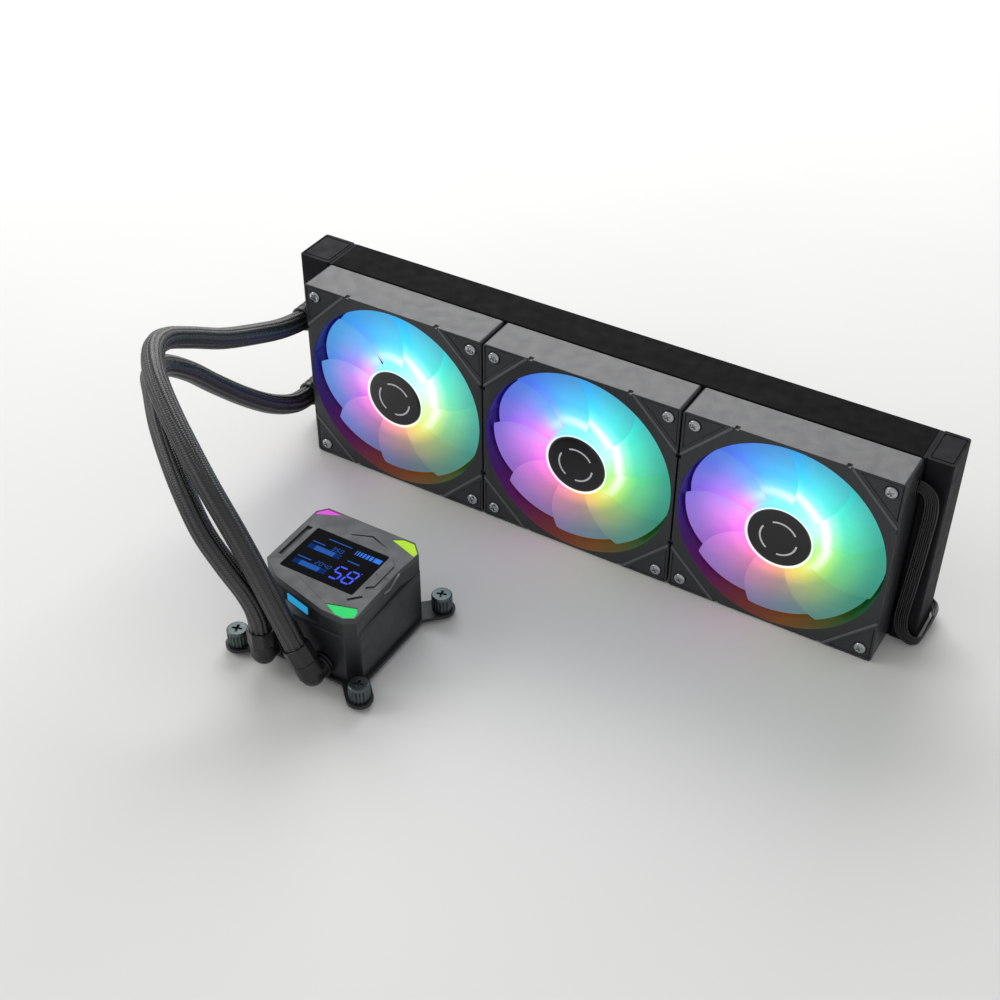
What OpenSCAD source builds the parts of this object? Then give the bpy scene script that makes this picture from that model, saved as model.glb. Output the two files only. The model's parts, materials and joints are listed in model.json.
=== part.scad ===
// All-in-one liquid cooler: a three-fan radiator, two braided hoses and a pump block with a screen.
// X runs along the radiator, -Y is the fan side, +Z is up. The origin is the middle of the
// radiator's lower face, between the core's two faces and under the middle fan. Units are mm.

/* [Radiator] */
// Depth of the core, rails and tanks
rad_depth = 27; // [26:0.5:30]
// Overall height
rad_height = 120; // [120:0.5:122]
// Length of the end tank that carries the hose ports
port_tank_length = 20.8; // [20:0.1:24]
// Length of the plain end tank
plain_tank_length = 14.3; // [13:0.1:18]
// Height of each side rail
rail_height = 11.7; // [11:0.1:12.5]
// Number of flat water tubes
tube_count = 11; // [9:1:13]
// Height of one flat water tube
tube_thick = 1.8; // [1.5:0.1:2.2]
// Length of one full wave of the folded fins
fin_pitch = 8.9; // [6:0.1:12]
// Wall of the end tanks
tank_wall = 1.8; // [1.5:0.1:2]

/* [Fans] */
// Distance from one fan centre to the next
fan_pitch = 120; // [120:0.5:121]
// Side of the square fan frame
fan_size = 119; // [118.5:0.1:119.5]
// Depth of the fan frame
fan_depth = 25; // [25:0.5:27]
// Diameter of the air duct through the frame
duct_d = 115.4; // [114:0.1:116]
// Distance between the screw holes along one side
screw_pitch = 105; // [105:0.1:105]
// Diameter over the blade tips
blade_tip_d = 112; // [108:0.5:112]
// Diameter of the rotor hub
hub_d = 40; // [39:0.5:42]
// Number of blades
blade_count = 9; // [7:1:11]

/* [Pump block] */
// Centre of the pump block along X
pump_x = -73; // [-75:1:-70]
// Centre of the pump block along Y
pump_y = -162.5; // [-164:0.5:-161]
// Side of the square body
body_size = 67; // [66:0.5:68]
// Height of the lower shell's top edge
seam_z = 36; // [35.5:0.5:36.5]
// Height of the top of the cap
cap_z = 50; // [50:0.5:51]
// Half the distance between the mounting nuts
nut_offset = 39; // [39:0.5:40]
// Diameter of a mounting nut
nut_d = 11.5; // [11:0.1:12]

/* [Hoses] */
// Outer diameter of the braided sleeve
hose_d = 12; // [11.5:0.1:12]
// Height of the upper hose port on the radiator
upper_port_z = 87; // [87:1:87]
// Height of the lower hose port on the radiator
lower_port_z = 33; // [33:1:33]
// Distance of both hose ports from the origin along X
port_x = -190; // [-190:1:-190]

/* [Fan lead] */
// Width of the flat fan lead
lead_width = 7.5; // [7:0.1:7.6]
// Thickness of the flat fan lead
lead_thick = 1.6; // [1.4:0.1:1.6]

/* [Hidden] */

$fn = 48;
tiny = 0.01;
sheet = 1.4;
half_core = 180;
header_thick = 2;
case_hole_r = 1.5;
fan_hole_r = 1.75;
collar_length = 5;
screw_shank_r = 1.7;

// Levels inside the core: rows of fins between the flat tubes
core_height = rad_height - 2 * rail_height;
fin_height = (core_height - tube_count * tube_thick) / (tube_count + 1);
row_step = fin_height + tube_thick;
tube_depth = 22;
tube_wall = 0.3;
fin_half = half_core - header_thick;
fin_sheet = 0.5;

// Levels of a fan, in its own frame: air enters at +Z and leaves at -Z
fan_front = fan_depth / 2;
fan_back = -fan_depth / 2;
fan_z = rad_height / 2;
fan_y = -rad_depth / 2 - fan_depth / 2;
corner_rib = 64.3;
strut_deep = 3;
disc_r = 22;
blade_front = 8;
blade_rear = -1;
shaft_r = 1.5;
bearing_r = 1.55;
tube_r = 4.5;
lead_z = 106;

// Levels of the pump block
plate_z = 3;
bracket_z = 5;
housing_top = 22;
volute_z = 9;
can_z = 29;
board_z = 31.5;
shell_top = 46;
port_z = 12;
elbow_y = -206;
right_port_x = -60;
left_port_x = -91;
right_port_lean = -30;
body_half = body_size / 2;
elbow_plug = pump_y - body_half + 12 - elbow_y;

// Route of the upper hose, from its port down to the right elbow
upper_route = [
    [-190, -17, 87], [-190, -30, 87], [-189, -52, 93], [-188, -76, 103], [-190, -100, 113],
    [-193, -122, 125], [-191, -142, 136], [-182, -160, 142], [-167, -176, 141],
    [-149, -188, 133], [-131, -197, 122], [-115, -203, 108], [-100, -206, 90],
    [-87, -207, 68], [-77, -206.5, 46], [-70, -206, 30], [-65, -206, 20.7]
];

// Route of the lower hose, from its port down to the left elbow
lower_route = [
    [-190, -17, 33], [-190, -30, 33], [-190, -46, 36], [-192, -64, 46], [-196, -82, 61],
    [-200, -100, 79], [-202, -118, 98], [-200, -138, 114], [-190, -156, 122],
    [-175, -171, 124], [-159, -186, 120], [-143, -198, 112], [-128, -207, 101],
    [-115, -212, 87], [-103, -212, 71], [-95, -209, 55], [-91, -207, 40], [-91, -206, 22]
];

// Route of the fan lead: down the side of the last fan with its flat side to the front, round
// the foot of the plain tank on its edge, and flat on the floor behind the radiator
lead_route = [
    [179.2, -18, 106], [183.4, -18, 105.2], [186.8, -18, 102.2], [188.4, -18, 97],
    [188.8, -18, 89], [188.4, -18, 76], [187.6, -17.6, 58], [186.6, -17.2, 40],
    [185.8, -17, 27], [185.6, -16.8, 17.5], [186.8, -16.6, 10.4], [190, -16.2, 5.8],
    [194, -15.6, 4.2], [196.8, -12.4, 3.9], [197.4, -6, 3.9], [197.4, 4, 3.9],
    [196.6, 13, 3.9], [193, 17.8, 3.9], [186, 19.8, 3.2], [176, 20.6, 2], [164, 21, 1.2],
    [150, 21, 1], [130, 20.5, 1], [110, 20, 1], [90, 20.5, 1], [70, 21, 1], [50, 21, 1],
    [30, 20.5, 1], [10, 20, 1], [-10, 20, 1], [-26, 20, 1]
];

// How far the lead has rolled over from its edge onto its flat side at one point of the route
function lead_roll(i) = min(90, max(0, 30 * (i - 17)));

// ---------------------------------------------------------------- helpers

function unit(v) = v / norm(v);

function tangent(route, i) = unit(route[min(i + 1, len(route) - 1)] - route[max(i - 1, 0)]);

// The side direction at one point, carried along the route from its start without twisting
function carried(route, i, start) =
    i == 0 ? start
    : let (before = carried(route, i - 1, start), t = tangent(route, i))
      unit(before - (before * t) * t);

// One solid of oval section along a route; start is the direction of its width at the first
// point, and roll is each point's turn about the route
module swept(route, start, width, thick, sides, roll = []) {
    last = len(route) - 1;
    rings = [for (i = [0 : last])
        let (
            t = tangent(route, i), side = carried(route, i, start),
            a = len(roll) > 0 ? roll[i] : 0,
            w = side * cos(a) + cross(t, side) * sin(a), up = cross(t, w)
        )
        for (k = [0 : sides - 1])
            route[i] + w * cos(360 * k / sides) * width / 2 + up * sin(360 * k / sides) * thick / 2];
    walls = [for (i = [0 : last - 1], k = [0 : sides - 1])
        let (a = i * sides + k, b = i * sides + (k + 1) % sides)
        each [[a, a + sides, b + sides], [a, b + sides, b]]];
    caps = [[for (k = [0 : sides - 1]) k], [for (k = [sides - 1 : -1 : 0]) last * sides + k]];
    polyhedron(points = rings, faces = concat(walls, caps), convexity = 8);
}

// A square or rectangle with round corners
module rounded(x, y, r) {
    square([x - 2 * r, y], center = true);
    square([x, y - 2 * r], center = true);
    for (sx = [-1, 1], sy = [-1, 1])
        translate([sx * (x / 2 - r), sy * (y / 2 - r)])
            circle(r);
}

// A rectangle with cut corners
module chamfered(x, y, c) {
    polygon([
        [-x / 2 + c, -y / 2], [x / 2 - c, -y / 2], [x / 2, -y / 2 + c], [x / 2, y / 2 - c],
        [x / 2 - c, y / 2], [-x / 2 + c, y / 2], [-x / 2, y / 2 - c], [-x / 2, -y / 2 + c]
    ]);
}

// A flat tube's section, lying with its long side along X
module flat_section(long, high) {
    square([long - high, high], center = true);
    for (s = [-1, 1])
        translate([s * (long - high) / 2, 0])
            circle(high / 2);
}

// Children at every tube's height in the core
module at_tubes() {
    for (i = [0 : tube_count - 1])
        translate([0, 0, rail_height + fin_height + tube_thick / 2 + i * row_step])
            children();
}

// Children on a fan's axis, in the fan's own frame
module at_fan(n) {
    translate([(n - 2) * fan_pitch, fan_y, fan_z])
        rotate([90, 0, 0])
            children();
}

// Children on the four corners of a square pattern
module at_corners(pitch) {
    for (sx = [-1, 1], sy = [-1, 1])
        translate([sx * pitch / 2, sy * pitch / 2, 0])
            children();
}

// Children in the pump block's frame
module at_pump() {
    translate([pump_x, pump_y, 0])
        children();
}

// Children along -Y from a hose port on the radiator's front face
module at_port(z) {
    translate([port_x, -rad_depth / 2, z])
        rotate([90, 0, 0])
            children();
}

// Children along the barrel of each elbow, from its bend
module at_elbow(x, lean) {
    translate([x, elbow_y, port_z])
        rotate([0, lean, 0])
            children();
}

// ---------------------------------------------------------------- radiator

module core_tubes() color("#26282b") {
    at_tubes()
        rotate([90, 0, 90])
            translate([0, 0, -half_core - 1])
                linear_extrude(2 * half_core + 2)
                    difference() {
                        flat_section(tube_depth, tube_thick);
                        flat_section(tube_depth - 2 * tube_wall, tube_thick - 2 * tube_wall);
                    }
}

// Each row is one folded sheet, in waves along X
module core_fins() color("#1f2124") {
    waves = floor(2 * fin_half / fin_pitch);
    steps = 2 * waves;
    step = 2 * fin_half / steps;
    upper = [for (i = [0 : steps]) [-fin_half + i * step, i % 2 == 1 ? fin_height : fin_sheet]];
    lower = [for (i = [steps : -1 : 0])
        [-fin_half + i * step, i % 2 == 1 ? fin_height - fin_sheet : 0]];
    for (row = [0 : tube_count])
        translate([0, tube_depth / 2, rail_height + row * row_step])
            rotate([90, 0, 0])
                linear_extrude(tube_depth)
                    polygon(concat(upper, lower));
}

module header_plates() color("#1b1c1e") {
    difference() {
        for (s = [-1, 1])
            translate([s * (half_core - header_thick / 2), 0, rad_height / 2])
                cube([header_thick, rad_depth - 0.6, rad_height - 0.6], center = true);
        at_tubes()
            rotate([90, 0, 90])
                translate([0, 0, -half_core - 1])
                    linear_extrude(2 * half_core + 2)
                        flat_section(tube_depth, tube_thick);
    }
}

// The wall that splits the port tank into an inlet half and an outlet half
module flow_baffle() color("#1b1c1e") {
    translate([-half_core - port_tank_length + tank_wall, -rad_depth / 2 + tank_wall, fan_z - 1])
        cube([port_tank_length - tank_wall - 1.2, rad_depth - 2 * tank_wall, 2]);
}

// A pan that is open towards the core; its end lids show as a fine groove round a plate
module tank(length) {
    inner = rad_depth - 2 * tank_wall;
    difference() {
        translate([length / 2, 0, 0])
            linear_extrude(rad_height)
                rounded(length, rad_depth, 1.6);
        translate([-tiny, -inner / 2, tank_wall + 1])
            cube([length - tank_wall + tiny, inner, rad_height - 2 * tank_wall - 2]);
        for (z = [-tiny, rad_height - 0.6])
            translate([length / 2 + 0.2, 0, z])
                difference() {
                    linear_extrude(0.6 + tiny)
                        rounded(length - 2.2, rad_depth - 4.4, 1);
                    translate([0, 0, -tiny])
                        linear_extrude(0.6 + 4 * tiny)
                            rounded(length - 3.4, rad_depth - 5.6, 0.6);
                }
    }
}

module tank_left() color("#18191b") {
    difference() {
        union() {
            translate([-half_core, 0, 0])
                mirror([1, 0, 0])
                    tank(port_tank_length);
            for (z = [lower_port_z, upper_port_z])
                at_port(z)
                    cylinder(r = 8.5, h = 1.5);
        }
        for (z = [lower_port_z, upper_port_z])
            at_port(z)
                translate([0, 0, -tank_wall - 1])
                    cylinder(r = 4.5, h = tank_wall + 4);
        translate([-half_core - port_tank_length - tiny, 0, 14])
            rotate([0, 90, 0])
                cylinder(r = 3, h = tank_wall + 0.2);
    }
}

module tank_right() color("#18191b") {
    translate([half_core, 0, 0])
        tank(plain_tank_length);
}

// A folded channel, open towards the core, with tapped collars: the fan screws go in at the
// front, and the case screws at the back
module rail() {
    module collars(front_r, back_r, h, past) {
        for (n = [-1 : 1], s = [-1, 1], side = [0, 1])
            translate([n * fan_pitch + s * screw_pitch / 2, 0, (rad_height - screw_pitch) / 2])
                rotate([90, 0, 180 * side])
                    translate([0, 0, rad_depth / 2 - h])
                        cylinder(r = side == 0 ? front_r : back_r, h = h + past);
    }
    difference() {
        union() {
            translate([-fin_half, 0, 0])
                rotate([90, 0, 90])
                    linear_extrude(2 * fin_half)
                        difference() {
                            polygon([
                                [-rad_depth / 2 + 0.7, 0], [rad_depth / 2 - 0.7, 0],
                                [rad_depth / 2, 0.7], [rad_depth / 2, rail_height],
                                [-rad_depth / 2, rail_height], [-rad_depth / 2, 0.7]
                            ]);
                            translate([-rad_depth / 2 + sheet, sheet])
                                square([rad_depth - 2 * sheet, rail_height]);
                        }
            collars(3, 3, collar_length, 0);
        }
        collars(fan_hole_r, case_hole_r, collar_length + tiny, tiny);
    }
}

module rail_bottom() color("#1c1d1f") {
    rail();
}

module rail_top() color("#1c1d1f") {
    translate([0, 0, rad_height])
        mirror([0, 0, 1])
            rail();
}

module port_barbs() color("#8b8d90") {
    for (z = [lower_port_z, upper_port_z])
        at_port(z)
            rotate_extrude()
                polygon([
                    [3.2, -4], [6, -4], [6, -1.9], [4.5, -1.8], [4.5, 2], [5, 2.2], [5, 3.2],
                    [4, 3.8], [4.6, 6.6], [3.8, 6.8], [4.6, 9.6], [3.8, 9.8], [4.3, 12.4], [3.2, 13]
                ]);
}

module fill_plug() color("#606367") {
    translate([-half_core - port_tank_length - 0.8, 0, 14])
        rotate([0, 90, 0])
            difference() {
                union() {
                    cylinder(r = 4.4, h = 0.8);
                    cylinder(r = 3, h = 0.8 + tank_wall);
                }
                translate([0, 0, -tiny])
                    cylinder(r = 1.5, h = 1.6, $fn = 6);
            }
}

// ---------------------------------------------------------------- hoses

module hose_upper() color("#303235") {
    swept(upper_route, [1, 0, 0], hose_d, hose_d, 10);
}

module hose_lower() color("#303235") {
    swept(lower_route, [1, 0, 0], hose_d, hose_d, 10);
}

// Crimped sleeves at the radiator end
module hose_ferrules() color("#2a2b2d") {
    for (z = [lower_port_z, upper_port_z])
        at_port(z)
            translate([0, 0, 3.4])
                rotate_extrude()
                    polygon([
                        [hose_d / 2 + 0.05, 0], [7.4, 0], [7.6, 0.6], [7.6, 4], [7.2, 4.4], [7.2, 5.6],
                        [7.6, 6], [7.6, 9], [7.2, 9.4], [7.2, 10.4], [7.6, 10.8], [7.6, 13],
                        [7.2, 13.6], [hose_d / 2 + 0.05, 13.6]
                    ]);
}

// Faceted sleeves at the pump end
module collar() {
    translate([0, 0, 8])
        difference() {
            cylinder(r = 7.7, h = 10, $fn = 8);
            translate([0, 0, -tiny])
                cylinder(r = hose_d / 2 + 0.05, h = 11);
        }
}

module hose_collars() color("#232427") {
    at_elbow(right_port_x, right_port_lean)
        collar();
    at_elbow(left_port_x, 0)
        collar();
}

// One elbow, from its plug in the pump housing to the barbed barrel that leans sideways
module elbow(lean) {
    difference() {
        union() {
            sphere(r = 6.4);
            rotate([0, lean, 0]) {
                cylinder(r = 6.4, h = 7);
                cylinder(r = 7, h = 7.9);
                cylinder(r = 3.8, h = 17);
                for (s = [9.5, 12.5])
                    translate([0, 0, s])
                        cylinder(r1 = 4.5, r2 = 3.8, h = 2.4);
            }
            rotate([-90, 0, 0]) {
                cylinder(r = 6, h = 9.6);
                cylinder(r = 4.4, h = elbow_plug);
                for (s = [5.8, 8.2])
                    translate([0, 0, s])
                        cylinder(r = 6.9, h = 1.4);
            }
        }
        rotate([0, lean, 0])
            cylinder(r = 2.7, h = 20);
        rotate([-90, 0, 0]) {
            cylinder(r = 2.7, h = elbow_plug + 1);
            translate([0, 0, elbow_plug - 4])
                difference() {
                    cylinder(r = 5, h = 2);
                    translate([0, 0, -1])
                        cylinder(r = 3.5, h = 4);
                }
        }
        sphere(r = 2.7);
    }
}

module pump_elbows() color("#1e1f21") {
    translate([right_port_x, elbow_y, port_z])
        elbow(right_port_lean);
    translate([left_port_x, elbow_y, port_z])
        elbow(0);
}

module elbow_seals() color("#0e0e0f") {
    for (x = [right_port_x, left_port_x])
        translate([x, elbow_y + elbow_plug - 3, port_z])
            rotate([90, 0, 0])
                rotate_extrude()
                    translate([4, 0])
                        circle(r = 0.48, $fn = 16);
}

// ---------------------------------------------------------------- fans

// A triangle in the frame's corner, with its long side facing the fan's centre
module corner_triangle(leg, inset) {
    edge = fan_size / 2 - inset;
    polygon([[edge, edge], [edge - leg, edge], [edge, edge - leg]]);
}

module in_fan_corners() {
    for (quarter = [0 : 3])
        rotate([0, 0, 90 * quarter])
            children();
}

module fan_frame(n) color("#4b4e51") {
    pocket = 1.2;
    at_fan(n)
        difference() {
            union() {
                difference() {
                    translate([0, 0, fan_back])
                        linear_extrude(fan_depth)
                            rounded(fan_size, fan_size, 2);
                    translate([0, 0, fan_back - tiny])
                        cylinder(d = duct_d, h = fan_depth + 1, $fn = 96);
                    in_fan_corners() {
                        translate([0, 0, fan_front - pocket])
                            linear_extrude(pocket + 1)
                                corner_triangle(22, 1.3);
                        for (turn = [0, 1])
                            mirror([turn, -turn, 0])
                                translate([fan_size / 2 - 30.8, fan_size / 2 - 1, fan_front - 2.5])
                                    cube([2.2, 2, 3]);
                    }
                }
                in_fan_corners() {
                    rotate([0, 0, 45])
                        translate([corner_rib, 0, fan_front])
                            cube([1.5, 38, 0.9], center = true);
                }
                // Back disc on its struts, with the bearing tube
                translate([0, 0, fan_back])
                    cylinder(r = disc_r, h = 2);
                for (k = [0 : 6])
                    rotate([0, 0, 360 * k / 7 + 13])
                        translate([disc_r - 0.4, -1.5, fan_back])
                            cube([duct_d / 2 - disc_r + 1, 3, strut_deep]);
                translate([0, 0, fan_back])
                    cylinder(r = tube_r, h = 15);
            }
            translate([0, 0, fan_back + 1])
                cylinder(r = 3, h = 16);
            at_corners(screw_pitch)
                translate([0, 0, fan_back - tiny])
                    cylinder(r = 2.2, h = fan_depth + 2);
            if (n == 3)
                translate([fan_size / 2 - 2.25, lead_z - fan_z, 4.5 + fan_back])
                    cube([5, 9.2, 5.2], center = true);
        }
}

// One blade, from its root in the hub to its tip
module blade() {
    across = 6;
    along = 7;
    root_r = hub_d / 2 - 0.8;
    tip_r = blade_tip_d / 2;
    function edge_angle(u) = 16 * u * u;
    function chord_angle(u) = 64 - 14 * u;
    function spot(u, v, lift) =
        let (r = root_r + u * (tip_r - root_r),
             a = edge_angle(u) + v * chord_angle(u),
             z = blade_front - (blade_front - blade_rear) * (v - 0.10 * sin(180 * v)) - 1.5 * u)
        [r * cos(a), r * sin(a), z + lift];
    function grid(lift) = [for (i = [0 : across], j = [0 : along])
        spot(i / across, j / along, lift * (0.5 + 0.7 * sin(180 * j / along)))];
    wide = along + 1;
    under = (across + 1) * wide;
    function top(i, j) = i * wide + j;
    function low(i, j) = under + i * wide + j;
    function quad(a, b, c, d) = [[a, b, c], [a, c, d]];
    skins = [for (i = [0 : across - 1], j = [0 : along - 1]) each concat(
        quad(top(i, j), top(i, j + 1), top(i + 1, j + 1), top(i + 1, j)),
        quad(low(i + 1, j), low(i + 1, j + 1), low(i, j + 1), low(i, j)))];
    lead_trail = [for (i = [0 : across - 1]) each concat(
        quad(low(i, 0), top(i, 0), top(i + 1, 0), low(i + 1, 0)),
        quad(low(i + 1, along), top(i + 1, along), top(i, along), low(i, along)))];
    root_tip = [for (j = [0 : along - 1]) each concat(
        quad(low(0, j + 1), top(0, j + 1), top(0, j), low(0, j)),
        quad(low(across, j), top(across, j), top(across, j + 1), low(across, j + 1)))];
    polyhedron(points = concat(grid(0.7), grid(-0.7)), faces = concat(skins, lead_trail, root_tip));
}

module fan_rotor(n) color("#e8eef2") {
    at_fan(n) {
        difference() {
            rotate_extrude()
                polygon([
                    [0, 10.4], [18.35, 10.4], [18.35, -7.4], [hub_d / 2, -7.4],
                    [hub_d / 2, 10.8], [hub_d / 2 - 0.8, 11.8], [hub_d / 2 - 1.6, 12],
                    [17.7, 12], [17.7, 11.4], [0, 11.4]
                ]);
            translate([0, 0, 9])
                cylinder(r = shaft_r, h = 4);
        }
        for (k = [0 : blade_count - 1])
            rotate([0, 0, 360 * k / blade_count])
                blade();
    }
}

module fan_hub_cap(n) color("#0c0c0d") {
    at_fan(n)
        rotate_extrude()
            polygon([[0, 11.4], [17.6, 11.4], [17.6, 12], [17.2, 12.3], [0, 12.4]]);
}

// The steel cup with its magnet ring and the shaft
module fan_yoke(n) color("#8d9196") {
    at_fan(n) {
        rotate_extrude()
            polygon([
                [0, 10.4], [18.3, 10.4], [18.3, -6.4], [17.1, -6.4], [17.1, -5.6], [15.3, -5.6],
                [15.3, 6], [17.1, 6], [17.1, 9.2], [shaft_r, 9.2], [shaft_r, -9], [1.1, -9.4],
                [0, -9.4]
            ]);
        cylinder(r = shaft_r, h = 11.4);
    }
}

// A four-pole core with its windings
module fan_stator(n) color("#b5703a") {
    at_fan(n)
        difference() {
            union() {
                translate([0, 0, -4])
                    cylinder(r = 6.5, h = 7);
                for (k = [0 : 3])
                    rotate([0, 0, 90 * k]) {
                        translate([0, -2, -3])
                            cube([13.5, 4, 5]);
                        translate([6.4, -4, -4.6])
                            cube([5, 8, 8.2]);
                    }
                intersection() {
                    difference() {
                        translate([0, 0, -4])
                            cylinder(r = 14.8, h = 7);
                        translate([0, 0, -5])
                            cylinder(r = 13, h = 9);
                    }
                    for (k = [0 : 1])
                        rotate([0, 0, 90 * k])
                            cube([40, 17, 20], center = true);
                }
            }
            translate([0, 0, -6])
                cylinder(r = tube_r, h = 12);
        }
}

// A ring board with its lamps facing the blades
module fan_led_board(n) color("#1d2b22") {
    at_fan(n) {
        difference() {
            translate([0, 0, fan_back + 2])
                cylinder(r = 21.5, h = 1.2);
            translate([0, 0, fan_back + 1])
                cylinder(r = tube_r, h = 4);
        }
        for (k = [0 : 11])
            rotate([0, 0, 30 * k])
                translate([16.5, -1.2, fan_back + 3])
                    cube([2.4, 2.4, 1.2]);
    }
}

module fan_corner_pads(n) color("#33363a") {
    at_fan(n)
        in_fan_corners()
            difference() {
                translate([0, 0, fan_front - 1.2])
                    linear_extrude(0.8)
                        corner_triangle(21.2, 1.7);
                translate([screw_pitch / 2, screw_pitch / 2, fan_front - 2])
                    cylinder(r = 3.7, h = 3);
            }
}

module fan_bearings() color("#b08d3e") {
    for (n = [1 : 3])
        at_fan(n)
            translate([0, 0, fan_back + 2])
                difference() {
                    cylinder(r = 3, h = 12.6);
                    translate([0, 0, -tiny])
                        cylinder(r = bearing_r, h = 14);
                }
}

// Long screws through each fan into the rails
module fan_screws() color("#c9cbce") {
    for (n = [1 : 3])
        at_fan(n)
            at_corners(screw_pitch)
                difference() {
                    union() {
                        translate([0, 0, fan_front - 1.2])
                            rotate_extrude()
                                polygon([[0, 0], [3.5, 0], [3.5, 1], [3.1, 1.8], [2.2, 2.3], [0, 2.5]]);
                        translate([0, 0, fan_back - 4.8])
                            cylinder(r = screw_shank_r, h = fan_depth + 4);
                    }
                    for (a = [0, 90])
                        rotate([0, 0, a + 25])
                            translate([0, 0, fan_front + 1.2])
                                cube([3.6, 0.9, 2.2], center = true);
                }
}

module lead_grommet() color("#141415") {
    translate([fan_pitch + fan_size / 2, -rad_depth / 2 - 4.5, lead_z])
        difference() {
            translate([-2, 0, 0])
                cube([5, 4.8, 8.8], center = true);
            translate([0.6, 0, 0])
                cube([2, 1.8, 7.8], center = true);
        }
}

module fan_lead() color("#1a1a1b") {
    rolls = [for (i = [0 : len(lead_route) - 1]) lead_roll(i)];
    swept(lead_route, [0, 0, 1], lead_width, lead_thick, 8, rolls);
}

module lead_plug() color("#101011") {
    end = lead_route[len(lead_route) - 1];
    translate([end[0] - 6.5, end[1], 3])
        difference() {
            union() {
                cube([13, 10.6, 6], center = true);
                translate([1.5, 0, 3])
                    cube([6, 4, 1.2], center = true);
            }
            for (k = [-1.5 : 1.5])
                translate([-4.5, k * 2.54, 0])
                    cube([6, 1.2, 1.2], center = true);
        }
}

// ---------------------------------------------------------------- pump block

module cold_plate() color("#b87333") {
    at_pump() {
        difference() {
            linear_extrude(plate_z)
                chamfered(56, 56, 8);
            at_corners(46)
                translate([0, 0, -tiny]) {
                    cylinder(r = 1.3, h = 4);
                    cylinder(r = 2.4, h = 1.2);
                }
        }
        for (k = [-11 : 11])
            translate([k * 1.2, 0, plate_z + 1.2])
                cube([0.45, 28, 2.4 + tiny], center = true);
    }
}

module base_gasket() color("#1c1d1f") {
    at_pump()
        translate([0, 0, plate_z])
            difference() {
                linear_extrude(1)
                    rounded(38, 38, 4);
                translate([0, 0, -1])
                    linear_extrude(3)
                        rounded(35, 35, 3);
            }
}

// The wet housing: a chamber over the fins, the volute, the rotor can and two side ports
module pump_housing() color("#232527") {
    at_pump()
        difference() {
            union() {
                translate([0, 0, plate_z])
                    linear_extrude(bracket_z + 0.2 - plate_z)
                        chamfered(56, 56, 8);
                translate([0, 0, bracket_z])
                    linear_extrude(housing_top - bracket_z)
                        chamfered(62, 62, 7);
                translate([0, 0, bracket_z])
                    cylinder(r = 9.4, h = can_z - bracket_z);
            }
            translate([0, 0, plate_z - tiny])
                linear_extrude(1 + tiny)
                    difference() {
                        rounded(38, 38, 4);
                        rounded(35, 35, 3);
                    }
            translate([0, 0, plate_z + 1.7])
                cube([30, 31, 3.6], center = true);
            translate([0, 0, volute_z])
                cylinder(r = 16, h = 6);
            translate([0, 0, volute_z])
                cylinder(r = 8, h = can_z - volute_z - 1.2);
            translate([0, 0, 5])
                cylinder(r = 2.2, h = 5);
            for (x = [right_port_x - pump_x, left_port_x - pump_x])
                translate([x, -31 - tiny, port_z])
                    rotate([-90, 0, 0]) {
                        cylinder(r = 4.5, h = 12);
                        cylinder(r = 2.7, h = 20);
                    }
            translate([-14.2, -13, bracket_z])
                cylinder(r = 1.6, h = port_z - bracket_z);
            translate([0, 0, volute_z])
                cylinder(r = 1.2, h = can_z - volute_z - 0.6);
            at_corners(46)
                translate([0, 0, plate_z - tiny])
                    cylinder(r = 1.1, h = 8);
        }
}

module impeller() color("#dfe3e6") {
    at_pump()
        difference() {
            union() {
                translate([0, 0, volute_z + 1])
                    cylinder(r = 14, h = 1.4);
                for (k = [0 : 6])
                    rotate([0, 0, 360 * k / 7])
                        translate([5, -0.6, volute_z + 2])
                            cube([8.6, 1.2, 3]);
                translate([0, 0, volute_z + 1])
                    cylinder(r = 7, h = can_z - volute_z - 3.4);
            }
            translate([0, 0, 5])
                cylinder(r = 1.25, h = 30);
        }
}

module impeller_shaft() color("#f1efe9") {
    at_pump()
        translate([0, 0, volute_z + 0.6])
            cylinder(r = 1.2, h = can_z - volute_z - 1.2);
}

module pump_stator() color("#a8632f") {
    at_pump()
        translate([0, 0, housing_top])
            difference() {
                union() {
                    cylinder(r = 12, h = 7.4);
                    for (k = [0 : 5])
                        rotate([0, 0, 60 * k]) {
                            translate([9.6, -2, 1.6])
                                cube([13, 4, 3.6]);
                            translate([12.5, -4, 0.4])
                                cube([7, 8, 6.2]);
                        }
                    difference() {
                        cylinder(r = 24.5, h = 6.4);
                        translate([0, 0, -1])
                            cylinder(r = 22, h = 9);
                    }
                }
                translate([0, 0, -1])
                    cylinder(r = 9.5, h = 10);
            }
}

// The frame that clamps the block down by its four corner ears
module bracket() color("#2b2d30") {
    at_pump()
        difference() {
            translate([0, 0, plate_z])
                linear_extrude(bracket_z - plate_z) {
                    difference() {
                        chamfered(71, 71, 10);
                        chamfered(56.4, 56.4, 8.1);
                    }
                    for (sx = [-1, 1], sy = [-1, 1]) {
                        translate([sx * nut_offset, sy * nut_offset])
                            circle(r = 7.2);
                        translate([sx * (nut_offset - 5), sy * (nut_offset - 5)])
                            rotate([0, 0, 45 * sx * sy])
                                square([14, 14.4], center = true);
                    }
                }
            at_corners(2 * nut_offset)
                translate([0, 0, plate_z - 1])
                    cylinder(r = 3.5, h = 5);
        }
}

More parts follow.
